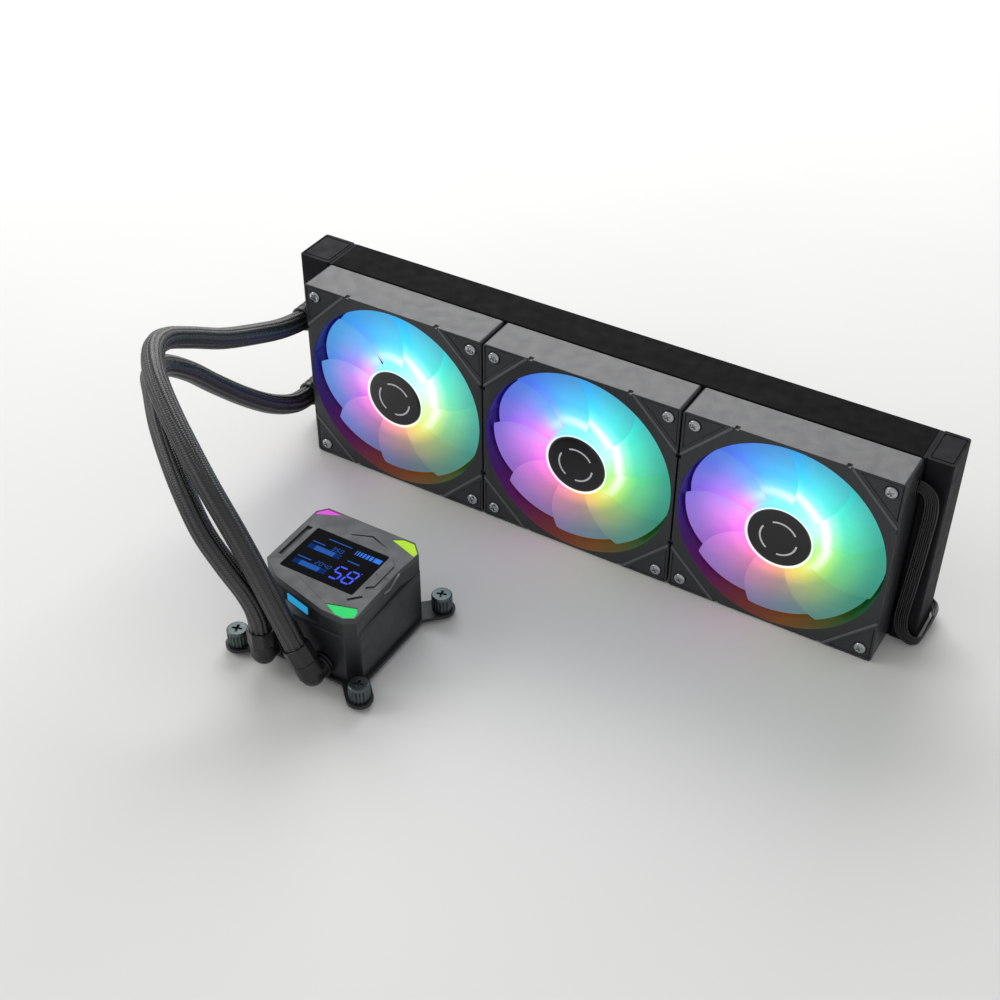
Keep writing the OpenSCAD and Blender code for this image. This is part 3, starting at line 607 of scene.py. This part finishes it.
def make_lead():
    """Thin cores lying side by side, each with a little play of its own."""
    material = finish_of("lead_jacket", srgb("1b1c1e"), 0.3, grain=0.12, grain_scale=1500)
    path, run = smooth_path(LEAD_ROUTE, LEAD_STEP)
    side, up = carried_frames(path, (0, 0, 1))
    knots = [int(np.argmin(np.linalg.norm(path - np.array(p), axis=1))) for p in LEAD_ROUTE]
    rolls = [lead_roll(i) for i in range(len(LEAD_ROUTE))]
    roll = np.radians(np.interp(np.arange(len(path)), knots, rolls))[:, None]
    side, up = side * np.cos(roll) + up * np.sin(roll), up * np.cos(roll) - side * np.sin(roll)
    theta = np.arange(CORE_SIDES) * TURN / CORE_SIDES
    free = np.clip(np.minimum(run, run[-1] - run) / LEAD_HELD, 0, 1)
    pitch = (LEAD_WIDTH - 2 * CORE_R) / (CORES - 1)
    grids = []
    for k in range(CORES):
        play = free * CORE_PLAY * np.sin(run * (150 + 17 * k) + 1.9 * k)
        middle = path + side * ((k - (CORES - 1) / 2) * pitch) + up * play[:, None]
        grids.append(round_the_path(middle, side, up, theta, CORE_R))
    mesh = tube_mesh("fan_lead_cores", grids)
    lead = piece_from("fan_lead_cores", mesh, material, "cooler", ("fan_lead",))
    plug = refined("lead_plug", 0.0003,
                   finish_of("plug_plastic", srgb("141416"), 0.45))


make_lead()

# ---------------------------------------------------------------- fans

HUB_R = 0.020
TIP_R = 0.056
CAP_R = 0.0176
BLADES = 9
BLADE_FRONT = 0.008
BLADE_REAR = -0.001
BLADE_DEGREES = 64
BLADE_NARROWS = 14
BLADE_SWEEP = 16
BLADE_DROOP = 0.0015
BLADE_HALF_THICK = 0.0007
ROOT_SUNK = 0.0008


def fan_centre(n):
    """The middle of a fan, on its axis."""
    low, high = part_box(f"fan_{n}_frame")
    return (low + high) / 2


# Glow colours by the angle seen from the front, anticlockwise from the right:
# beside the hub, half way out and at the tips
COOL_LEFT = {
    "hub": {0: "d4f8b4", 30: "d4fff0", 60: "b0f8ff", 90: "84ecff", 120: "78e0ff", 150: "ccb4f8",
            180: "f0a0ec", -150: "f57ddc", -120: "f58cb4", -90: "f8a890", -60: "e4dc70",
            -30: "d4f084"},
    "mid": {0: "78dca0", 30: "54e8c4", 60: "44dce4", 90: "40cef2", 120: "48b4f2", 150: "849cec",
            180: "b480e2", -150: "b86ecc", -120: "a8709c", -90: "a48478", -60: "98a068",
            -30: "80b878"},
    "tip": {0: "3a9c8c", 30: "3cb0a4", 60: "3aacc0", 90: "38a0d4", 120: "3896d4", 150: "4092d4",
            180: "5488d0", -150: "6478c4", -120: "6268a0", -90: "586078", -60: "4c7468",
            -30: "388474"},
}
WARM_LEFT = {
    "hub": {0: "a8f494", 30: "bcffe6", 60: "9cf6ff", 90: "7ce8ff", 120: "7cd8ff", 150: "d0a0fc",
            180: "f088ec", -150: "fc7ee0", -120: "fc84b8", -90: "f4a47c", -60: "e2d860",
            -30: "bcee64"},
    "mid": {0: "56d28c", 30: "48e4c4", 60: "44e4e2", 90: "40c8f6", 120: "4aa8f4", 150: "9c84f2",
            180: "d080ea", -150: "cc6ed0", -120: "bc749c", -90: "a07c7c", -60: "94a464",
            -30: "6cbc6c"},
    "tip": {0: "249078", 30: "2ca898", 60: "34a8b8", 90: "3c90c8", 120: "3c7cd4", 150: "5068d0",
            180: "8068cc", -150: "8a64b8", -120: "82649c", -90: "606c80", -60: "48786c",
            -30: "287c68"},
}


ARC_R = 0.0243
ARC_HALF_WIDTH = 0.0046
PAINTED_ARC_LEVELS = {-60: 0.0, -20: 0.7, 15: 1.0, 70: 0.85, 115: 0.4, 155: 0.0}
LIT_EDGE_R = (0.0186, 0.0193)
LIT_EDGE_Y = -0.0106


def disc_material(n, glow):
    """Frosted blades lit from the hub: a colour wheel that changes with angle and radius.

    The lamps sit on a fixed board, so their colours are placed by the frame and don't turn.
    """
    m = Nodes(f"blade_frosted_{n}")
    m.place.node.object = bpy.data.objects[f"fan_{n}_frame_finished"]
    y, radius, share = m.polar(fan_centre(n))
    hub, mid, tip = (m.wheel(share, glow[ring]) for ring in ("hub", "mid", "tip"))
    colour = m.mix(m.span(radius, 0, 1, 0.023, 0.036, True), hub, mid)
    colour = m.mix(m.span(radius, 0, 1, 0.030, 0.054, True), colour, tip)
    # A white arc painted round the hub, brightest on the upper right: a painted highlight standing
    # in for the hub's lit side wall, which shows on that side
    off_arc = m.math("ABSOLUTE", m.math("SUBTRACT", radius, ARC_R))
    painted_arc = m.math("MULTIPLY", m.span(off_arc, 0.85, 0, 0.0, ARC_HALF_WIDTH, True),
                 m.ramp(share, [(turns_of(a), (v, v, v)) for a, v in PAINTED_ARC_LEVELS.items()]))
    colour = m.mix(painted_arc, colour, WHITE)
    # The lit edge of the hub round its black cap
    edge = m.math("MULTIPLY", m.span(radius, 0.75, 0, *LIT_EDGE_R, True),
                  m.math("LESS_THAN", y, LIT_EDGE_Y))
    colour = m.mix(edge, colour, WHITE)
    streaks = m.noise(420, 2, place=m.vector("MULTIPLY", m.place, (0.25, 0.25, 1)))
    glowing = m.mix(m.span(streaks, 0, 0.10), colour, WHITE, "SOFT_LIGHT")
    m.set(
        Base_Color=m.mix(0.6, colour, rgba((0.08, 0.08, 0.09))),
        Roughness=0.42,
        Emission_Color=glowing,
        Emission_Strength=0.92,
        Specular_IOR_Level=0.25,
    )
    return m.material


def blade_grid(k, across=18, along=34):
    """Upper and lower skins of one blade, each across x along points."""
    u, v = np.meshgrid(np.linspace(0, 1, across), np.linspace(0, 1, along), indexing="ij")
    r = HUB_R - ROOT_SUNK + u * (TIP_R - HUB_R + ROOT_SUNK)
    angle = np.radians(BLADE_SWEEP * u * u + v * (BLADE_DEGREES - BLADE_NARROWS * u))
    angle += k * TURN / BLADES
    fall = (BLADE_FRONT - BLADE_REAR) * (v - 0.10 * np.sin(math.pi * v))
    depth = BLADE_FRONT - fall - BLADE_DROOP * u
    rounding = np.clip(1 - np.abs(2 * v - 1) ** 10, 0, 1) ** 0.5
    half = BLADE_HALF_THICK * (0.5 + 0.7 * np.sin(math.pi * v)) * rounding
    flat = np.stack([r * np.cos(angle), depth, r * np.sin(angle)], axis=2)
    lift = np.zeros_like(flat)
    lift[..., 1] = half
    return flat + lift, flat - lift


def skin_faces(across, along, base, flip):
    i = np.arange(across - 1)[:, None] * along
    j = np.arange(along - 1)[None, :]
    a = (i + j + base).ravel()
    quads = np.stack([a, a + 1, a + along + 1, a + along], axis=1)
    return quads[:, ::-1] if flip else quads


def rim_faces(across, along, base):
    """The narrow walls that close a blade between its two skins."""
    under = base + across * along
    ring = [i * along for i in range(across)]
    ring += [(across - 1) * along + j for j in range(1, along)]
    ring += [i * along + along - 1 for i in range(across - 2, -1, -1)]
    ring += [j for j in range(along - 2, 0, -1)]
    return [(base + a, under + a, under + b, base + b)
            for a, b in zip(ring, ring[1:] + ring[:1])]


def turned(profile, around=96):
    """A ring of points by turning (radius, depth) pairs about the fan's axis."""
    theta = np.arange(around) * TURN / around
    p = np.array(profile, float)
    return np.stack([p[:, 0:1] * np.cos(theta), np.repeat(p[:, 1:2], around, axis=1),
                     p[:, 0:1] * np.sin(theta)], axis=2)


HUB_PROFILE = [
    (0.0179, 0.0114), (0.0181, 0.0119), (0.0186, 0.0121), (0.0192, 0.0120), (0.0197, 0.0116),
    (0.0200, 0.0108), (0.0200, 0.0090), (0.0200, -0.0074), (0.0184, -0.0074), (0.0184, 0.0100),
    (0.0179, 0.0104),
]


def make_rotor(n, glow):
    centre = fan_centre(n)
    points, faces, base = [], [], 0
    for k in range(BLADES):
        upper, lower = blade_grid(k)
        across, along = upper.shape[:2]
        points += [upper.reshape(-1, 3), lower.reshape(-1, 3)]
        faces += skin_faces(across, along, base, False).tolist()
        faces += skin_faces(across, along, base + across * along, True).tolist()
        faces += rim_faces(across, along, base)
        base += 2 * across * along
    hub = turned(HUB_PROFILE)
    rings, around = hub.shape[:2]
    points.append(hub.reshape(-1, 3))
    for i in range(rings):
        row, after = base + i * around, base + (i + 1) % rings * around
        for k in range(around):
            turn = (k + 1) % around
            faces.append((row + k, row + turn, after + turn, after + k))
    # The fan's own depth runs against Y: air enters from -Y
    cloud = np.vstack(points) * (1, -1, 1) + np.array(centre)
    mesh = mesh_from_arrays(f"fan_{n}_blades", cloud, faces)
    piece_from(mesh.name, mesh, disc_material(n, glow), f"fan_{n}_spinner",
               (f"fan_{n}_rotor",), 60)


DOME_TOP = 0.01245
DOME_PROFILE = [
    (0.004, 0.01244), (0.008, 0.01240), (0.012, 0.01232), (0.0155, 0.01222), (0.0170, 0.01212),
    (0.0175, 0.01190), (CAP_R, 0.0114),
]
PRINT_RADII = (0.0098, 0.0108)
PRINT_DEPTHS = (0.01238, 0.01244)
PRINT_ARCS = (30, 150, 270)
PRINT_ARC_LONG = 84
PRINT_STEPS = 20


def make_hub_cap(n, face, print_ink):
    """A slightly domed disc with a plain printed ring."""
    centre = np.array(fan_centre(n))
    grid = turned(DOME_PROFILE)
    rings, around = grid.shape[:2]
    cloud = np.vstack([grid.reshape(-1, 3), [(0, DOME_TOP, 0)]]) * (1, -1, 1) + centre
    faces = grid_faces(rings, around).tolist()
    tip = rings * around
    faces += [(tip, k, (k + 1) % around) for k in range(around)]
    faces.append(tuple(range(tip - around, tip)))
    mesh = mesh_from_arrays(f"fan_{n}_hub_face", cloud, faces)
    piece_from(mesh.name, mesh, face, f"fan_{n}_spinner", (f"fan_{n}_hub_cap",), 40)
    # Three short arcs of one thin ring
    points, faces = [], []
    for begin in PRINT_ARCS:
        start = len(points)
        for s in range(PRINT_STEPS + 1):
            a = math.radians(begin + PRINT_ARC_LONG * s / PRINT_STEPS)
            points += [(r * math.cos(a), depth, r * math.sin(a))
                       for r in PRINT_RADII for depth in PRINT_DEPTHS]
        last = start + 4 * PRINT_STEPS
        for q in range(start, last, 4):
            faces += [(q + 1, q + 3, q + 7, q + 5), (q, q + 4, q + 6, q + 2),
                      (q, q + 1, q + 5, q + 4), (q + 2, q + 6, q + 7, q + 3)]
        faces += [(start, start + 2, start + 3, start + 1), (last, last + 1, last + 3, last + 2)]
    mesh = mesh_from_arrays(f"fan_{n}_hub_print", np.array(points) * (1, -1, 1) + centre, faces)
    piece_from(mesh.name, mesh, print_ink, f"fan_{n}_spinner", (), 40)


# Painted glow of the duct wall by angle: the blades' light on the wall, painted in as emission
DUCT_PAINTED_GLOW = {0: "061420", 40: "060d26", 90: "0a1250", 130: "141078", 165: "1c0f74", 180: "200d6a",
             -155: "3c0c60", -130: "5e1050", -105: "7a3424", -80: "84501c", -60: "5c5410",
             -40: "14500f", -15: "083c1c"}


DUCT_WALL_R = (0.0579, 0.0582)
RIB_HIGHLIGHT_Y = -0.0124


def frame_material(n):
    """Satin moulding whose duct wall has painted glow in the colours of the blades beside it, over
    painted shade that darkens the wall to near black.
    """
    material = finish_of(f"fan_frame_{n}", srgb("2e3032"), 0.36, vary=0.08, rough_vary=0.05,
                         grain=0.2, grain_scale=3000, specular=0.4)
    m = Nodes(material)
    y, radius, share = m.polar(fan_centre(n))
    wall = m.span(radius, 1, 0, *DUCT_WALL_R)
    plain = m.shader.inputs["Base Color"].links[0].from_socket
    # The corner ribs stand proud of the front; their fronts are painted lighter, a painted
    # highlight
    plain = m.mix(m.math("MULTIPLY", m.math("LESS_THAN", y, RIB_HIGHLIGHT_Y), 0.85), plain,
                  rgba(srgb("5c5f61")))
    # On the duct wall, painted shade darkens the colour to near black and the blades' light is
    # painted in as glow
    m.set(Base_Color=m.mix(m.math("MULTIPLY", wall, 0.9), plain, rgba((0.002, 0.002, 0.004))),
          Emission_Color=m.wheel(share, DUCT_PAINTED_GLOW),
          Emission_Strength=m.math("MULTIPLY", wall, 0.55))
    return material


pad_rubber = finish_of("corner_rubber", srgb("2a2d30"), 0.6, vary=0.1, grain=0.5,
                       grain_scale=2200)
hub_face = finish_of("hub_face", srgb("101011"), 0.34, vary=0.1, grain=0.1, coat=0.15)
hub_ink = finish_of("hub_print", srgb("d8dadc"), 0.5)
steel = finish_of("screw_steel", srgb("b4b8bc"), 0.2, metal=1.0, vary=0.05, rough_vary=0.04,
                  grain=0.0)
circuit = finish_of("circuit_board", srgb("15402a"), 0.4)
winding = finish_of("winding_copper", srgb("b06a34"), 0.35, metal=0.8)
zinc = finish_of("yoke_steel", srgb("a7abb0"), 0.3, metal=1.0)
brass = finish_of("bearing_brass", srgb("b48a3c"), 0.25, metal=1.0)

for n, glow in zip(FANS, (COOL_LEFT, WARM_LEFT, WARM_LEFT)):
    refined(f"fan_{n}_frame", 0.00035, frame_material(n))
    refined(f"fan_{n}_corner_pads", 0.0002, pad_rubber)
    make_rotor(n, glow)
    make_hub_cap(n, hub_face, hub_ink)
    keep_node(f"fan_{n}_yoke", zinc)
    keep_node(f"fan_{n}_stator", winding)
    keep_node(f"fan_{n}_led_board", circuit)
keep_node("fan_bearings", brass)
refined("fan_screws", 0.00015, steel)

# ---------------------------------------------------------------- radiator

TUBE_ROWS = 11
TUBE_THICK = 0.0018
PLEAT = 0.0017
FIN_SHEET = 0.00012
FOLD_STEPS = 4

radiator_coat = finish_of("radiator_coat", srgb("1c1d1f"), 0.6, vary=0.12, grain=0.45,
                          grain_scale=2400, specular=0.08)
rail_coat = finish_of("rail_coat", srgb("0e0f10"), 0.6, vary=0.08, grain=0.25, grain_scale=2400,
                      specular=0.03)
fin_coat = finish_of("fin_metal", srgb("232528"), 0.4, metal=0.35, vary=0.25, vary_scale=90)
core_coat = finish_of("core_metal", srgb("1e1f22"), 0.38, metal=0.3)
port_metal = finish_of("port_metal", srgb("8e9194"), 0.28, metal=1.0)


def make_fins():
    """Fine pleated sheets between the tubes, with their folds rounded."""
    low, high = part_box("core_fins")
    row_high = ((high.z - low.z) - TUBE_ROWS * TUBE_THICK) / (TUBE_ROWS + 1)
    folds = int(round((high.x - low.x) / PLEAT)) * 2
    t = np.arange(folds * FOLD_STEPS + 1) / FOLD_STEPS
    wave = 0.5 - 0.5 * np.cos(math.pi * t)
    wave = np.clip((wave - 0.5) * 1.25 + 0.5, 0, 1)
    x = low.x + (high.x - low.x) * t / t[-1]
    points, faces, base = [], [], 0
    for row in range(TUBE_ROWS + 1):
        floor_z = low.z + row * (row_high + TUBE_THICK)
        z = floor_z + FIN_SHEET + wave * (row_high - 2 * FIN_SHEET)
        for lift in (FIN_SHEET / 2, -FIN_SHEET / 2):
            for y in (low.y, high.y):
                points.append(np.stack([x, np.full_like(x, y), z + lift], axis=1))
        count = len(x)
        front_top, back_top, front_low, back_low = (base + k * count for k in range(4))
        i = np.arange(count - 1)
        for a, b in ((front_top, back_top), (back_low, front_low), (back_top, back_low),
                     (front_low, front_top)):
            faces.append(np.stack([a + i, a + i + 1, b + i + 1, b + i], axis=1))
        base += 4 * count
    mesh = mesh_from_arrays("core_fins_pleated", np.vstack(points), np.vstack(faces))
    piece_from(mesh.name, mesh, fin_coat, "cooler", ("core_fins",), 50)


make_fins()
keep_node("core_tubes", core_coat)
keep_node("flow_baffle", radiator_coat)
keep_node("port_barbs", port_metal)
refined("header_plates", 0.0002, radiator_coat)
for node in ("tank_left", "tank_right"):
    refined(node, 0.00018, radiator_coat)
for node in ("rail_top", "rail_bottom"):
    refined(node, 0.0003, rail_coat)
refined("fill_plug", 0.00015, port_metal)

# ---------------------------------------------------------------- hose ends

crimp = finish_of("crimp_sleeve", srgb("1d1e20"), 0.33, vary=0.1, grain=0.2)
elbow_black = finish_of("elbow_plastic", srgb("17181a"), 0.4, grain=0.3)
rubber = finish_of("seal_rubber", srgb("101011"), 0.6)

refined("hose_ferrules", 0.00015, crimp)
refined("hose_collars", 0.0004, crimp, segments=3, sharp=20)
refined("pump_elbows", 0.0004, elbow_black)
keep_node("elbow_seals", rubber)
keep_node("base_gasket", rubber)
refined("lead_grommet", 0.0003, rubber)

# ---------------------------------------------------------------- pump block

shell_black = finish_of("shell_plastic", srgb("1e2022"), 0.4, vary=0.08, grain=0.35,
                        grain_scale=2600)
gunmetal = finish_of("cap_finish", srgb("484a4c"), 0.5, metal=0.2, vary=0.04, grain=0.3,
                     grain_scale=3200, specular=0.35)
bracket_coat = finish_of("bracket_steel", srgb("26282a"), 0.42, metal=0.2)
nut_metal = finish_of("nut_metal", srgb("5c6466"), 0.34, metal=1.0, grain=0.0)
copper = finish_of("plate_copper", srgb("c57a4e"), 0.26, metal=1.0, grain=0.25,
                   grain_scale=1200)
nylon = finish_of("impeller_plastic", srgb("dfe3e6"), 0.45)
ceramic = finish_of("shaft_ceramic", srgb("ebe8df"), 0.15)
tray = finish_of("screen_tray", srgb("0b0c10"), 0.5)
housing = finish_of("housing_plastic", srgb("202224"), 0.5)

refined("lower_shell", 0.0005, shell_black, segments=3)
refined("upper_shell", 0.0003, shell_black)
refined("top_cap", 0.0002, gunmetal)
refined("bracket", 0.0002, bracket_coat)
for node in ("nut_front_left", "nut_front_right", "nut_back_left", "nut_back_right"):
    refined(node, 0.00015, nut_metal)
refined("cold_plate", 0.0002, copper)
keep_node("pump_housing", housing)
keep_node("impeller", nylon)
keep_node("impeller_shaft", ceramic)
keep_node("pump_stator", winding)
keep_node("pump_board", circuit)
keep_node("screen_module", tray)

glass = finish_of("screen_face", srgb("020308"), 0.3, vary=0.0, rough_vary=0.02, grain=0.0,
                  specular=0.01)
refined("screen_glass", 0.00015, glass)
PUMP = Vector((-0.073, -0.1625, 0.0))
CAP_TOP = 0.050
CAP_WALL = 0.0327
GLASS_TOP = 0.0497
MARK_LOW, MARK_HIGH = 0.00002, 0.00008


def lens_material():
    """Four frosted lenses, each with its own colour by where it sits on the cap."""
    n = Nodes("light_lens")
    x, y, _ = n.from_point(PUMP)
    right = n.math("GREATER_THAN", x, 0.012)
    back = n.math("GREATER_THAN", y, 0.0)
    front_row = n.mix(right, rgba(srgb("2ea8e0")), rgba(srgb("18dc6c")))
    back_row = n.mix(right, rgba(srgb("e64ae2")), rgba(srgb("b4e41e")))
    colour = n.mix(back, front_row, back_row)
    cloud = n.span(n.noise(120, 2), 0.88, 1.0)
    n.set(Base_Color=n.mix(0.85, colour, BLACK), Roughness=0.3, Specular_IOR_Level=0.08,
          Emission_Color=n.mix(cloud, n.mix(0.7, BLACK, colour), colour),
          Emission_Strength=0.8)
    return n.material


refined("corner_lights", 0.00025, lens_material())


def glow_material(name, colour, strength):
    n = Nodes(name)
    cloud = n.span(n.noise(900, 2), 0.75, 1.0)
    n.set(Base_Color=rgba((0.002, 0.002, 0.01)), Roughness=0.3, Specular_IOR_Level=0.0,
          Emission_Color=n.mix(cloud, rgba(scaled(colour, 0.6)), rgba(colour)),
          Emission_Strength=strength)
    return n.material


def slabs(name, shapes, low, high, material):
    """Thin flat pieces, each outlined by (x, y) in millimetres from the pump's middle."""
    points, faces = [], []
    for shape in shapes:
        base, count = len(points), len(shape)
        for z in (low, high):
            points += [(PUMP.x + x * MM, PUMP.y + y * MM, z) for x, y in shape]
        faces.append(tuple(base + k for k in range(count - 1, -1, -1)))
        faces.append(tuple(base + count + k for k in range(count)))
        faces += [(base + k, base + (k + 1) % count, base + count + (k + 1) % count,
                   base + count + k) for k in range(count)]
    mesh = mesh_from_arrays(name, points, faces)
    piece_from(name, mesh, material, "cooler", (), 30)


def stroke(a, b, width):
    """The outline of a straight line from a to b, pointed at both ends."""
    (ax, ay), (bx, by) = a, b
    long = math.hypot(bx - ax, by - ay)
    dx, dy = (bx - ax) / long, (by - ay) / long
    h = width / 2
    return [(ax, ay), (ax + h * (dx + dy), ay + h * (dy - dx)),
            (bx - h * (dx - dy), by - h * (dy + dx)), (bx, by),
            (bx - h * (dx + dy), by - h * (dy - dx)), (ax + h * (dx - dy), ay + h * (dy + dx))]


LEAN = 0.12
SEGMENT_ENDS = {
    "a": ((0, 2), (1, 2)), "b": ((1, 2), (1, 1)), "c": ((1, 1), (1, 0)), "d": ((1, 0), (0, 0)),
    "e": ((0, 0), (0, 1)), "f": ((0, 1), (0, 2)), "g": ((0, 1), (1, 1)),
}
SEGMENTS = {"0": "abcdef", "2": "abdeg", "3": "abcdg", "4": "bcfg", "5": "acdfg", "8": "abcdefg"}


def digit(text, x, y, wide, high, width):
    """A seven-segment number with its lower left corner at (x, y)."""
    shapes = []
    for key in SEGMENTS[text]:
        (ax, ay), (bx, by) = SEGMENT_ENDS[key]
        a = (x + ax * wide + LEAN * ay * high / 2, y + ay * high / 2)
        b = (x + bx * wide + LEAN * by * high / 2, y + by * high / 2)
        gap = width * 0.35
        long = math.hypot(b[0] - a[0], b[1] - a[1])
        dx, dy = (b[0] - a[0]) / long * gap, (b[1] - a[1]) / long * gap
        shapes.append(stroke((a[0] + dx, a[1] + dy), (b[0] - dx, b[1] - dy), width))
    return shapes


def box(x0, y0, x1, y1):
    return [(x0, y0), (x1, y0), (x1, y1), (x0, y1)]


def make_read_out():
    """A plain temperature read-out: big digits, two bars with small digits, and a level gauge."""
    digits = digit("5", 2.6, -11.2, 5.2, 9.4, 1.0) + digit("8", 10.2, -11.2, 5.2, 9.4, 1.0)
    small = []
    for word, left, foot in (("2040", -9.0, -6.9), ("350", -8.0, 6.4)):
        for k, text in enumerate(word):
            small += digit(text, left + 2.5 * k, foot, 1.5, 2.6, 0.35)
    small += [box(-20.5, -6.0, -12, -5.3), box(-20.5, 7.2, -12.5, 7.9), box(4.5, 3.4, 12, 4.1),
              box(-14, 12.6, 1, 13.2), stroke((16.6, -1.2), (17.6, -1.2), 0.9)]
    bars, dim = [], []
    for y in (-11.4, 2.0):
        for k in range(10):
            x = 2.04 * k
            (bars if 2 <= k < 8 else dim).append(box(x - 20.4, y, x - 18.5, y + 3.5))
    gauge, x = [], 4.6
    for k in range(6):
        wide = 0.5 + 0.22 * k
        gauge.append(box(x, 9.6, x + wide, 12.9))
        x += wide + 0.85
    gauge.append(box(x, 9.6, 20.4, 12.9))
    for name, shapes, code, strength in (
            ("screen_digits", digits, "4a63ff", 1.1), ("screen_small_marks", small, "2b62c0", 0.9),
            ("screen_bars", bars, "2c62b8", 0.9), ("screen_bars_dim", dim, "0f3474", 0.8),
            ("screen_gauge", gauge, "3c80f0", 1.0)):
        slabs(name, shapes, GLASS_TOP + MARK_LOW, GLASS_TOP + MARK_HIGH,
              glow_material(name, srgb(code), strength))


def make_cap_trim():
    """Fine folds and edges of the cap: painted shade along a crease, the strip's border and fine
    grooves, and a small bright angle.
    """
    edge = finish_of("cap_edge", srgb("8d9092"), 0.35, metal=0.5, grain=0.15)
    # The dark strokes below are painted shade, where the cap folds and where fine grooves run
    seam = finish_of("cap_seam", srgb("1a1b1c"), 0.5)
    slabs("cap_folds", [
        stroke((-12.2, -18.4), (13.6, -28.6), 0.28), stroke((24.4, -9.3), (32.1, -6.0), 0.5),
        stroke((31.6, -5.6), (31.3, 10.4), 0.35), stroke((24.6, 16.3), (31.2, 10.8), 0.3),
        stroke((-32.0, -15.2), (-24.6, -9.4), 0.3),
    ], CAP_TOP - 0.0001, CAP_TOP + 0.00006, seam)
    slabs("cap_fine_lines", [
        box(25.6, -3.0, 25.9, 9.0), box(26.6, -2.4, 26.9, 8.4),
    ], CAP_TOP + 0.0006, CAP_TOP + 0.00074, seam)
    # The angle stands on the right wall, just under the cap
    points, faces = [], []
    wall = PUMP.x + CAP_WALL
    path = [(-4.5, 0.0466), (0.5, 0.0456), (9.5, 0.0492)]
    for y, z in path:
        for x in (wall - 0.0012, wall + 0.0006):
            for dz in (-0.0003, 0.0003):
                points.append((x, PUMP.y + y * MM, z + dz))
    for k in range(len(path) - 1):
        q = 4 * k
        faces += [(q, q + 4, q + 6, q + 2), (q + 1, q + 3, q + 7, q + 5),
                  (q + 2, q + 6, q + 7, q + 3), (q, q + 1, q + 5, q + 4)]
    faces += [(0, 2, 3, 1), (8, 9, 11, 10)]
    mesh = mesh_from_arrays("cap_side_angle", points, faces)
    piece_from(mesh.name, mesh, edge, "cooler", (), 30)


make_read_out()
make_cap_trim()

# ---------------------------------------------------------------- floor and light


def make_floor():
    n = Nodes("floor")
    n.set(Base_Color=n.mix(n.noise(3, 2), rgba(srgb("dcdcda")), rgba(srgb("e6e6e4"))),
          Roughness=0.7, Specular_IOR_Level=0.2)
    bpy.ops.mesh.primitive_plane_add(size=12, location=(0, 0, 0))
    floor = bpy.context.object
    floor.name = "floor"
    floor.data.materials.append(n.material)


def area_light(name, at, aim, size, power):
    data = bpy.data.lights.new(name, "AREA")
    data.shape = "RECTANGLE"
    data.size, data.size_y = size
    data.energy = power
    lamp = bpy.data.objects.new(name, data)
    bpy.context.scene.collection.objects.link(lamp)
    lamp.location = at
    lamp.rotation_mode = "QUATERNION"
    lamp.rotation_quaternion = (Vector(aim) - Vector(at)).to_track_quat("-Z", "Y")


def make_light():
    world = bpy.data.worlds.new("studio")
    world.use_nodes = True
    backdrop = world.node_tree.nodes["Background"]
    backdrop.inputs["Color"].default_value = (1, 1, 1, 1)
    backdrop.inputs["Strength"].default_value = 0.55
    bpy.context.scene.world = world
    area_light("back_softbox", (-0.75, 1.35, 1.35), (0, 0, 0), (1.9, 1.3), 34)
    area_light("left_softbox", (-1.4, -0.7, 1.0), (0, -0.1, 0), (0.9, 0.9), 8)
    bpy.context.scene.view_settings.view_transform = "Standard"


make_floor()
make_light()
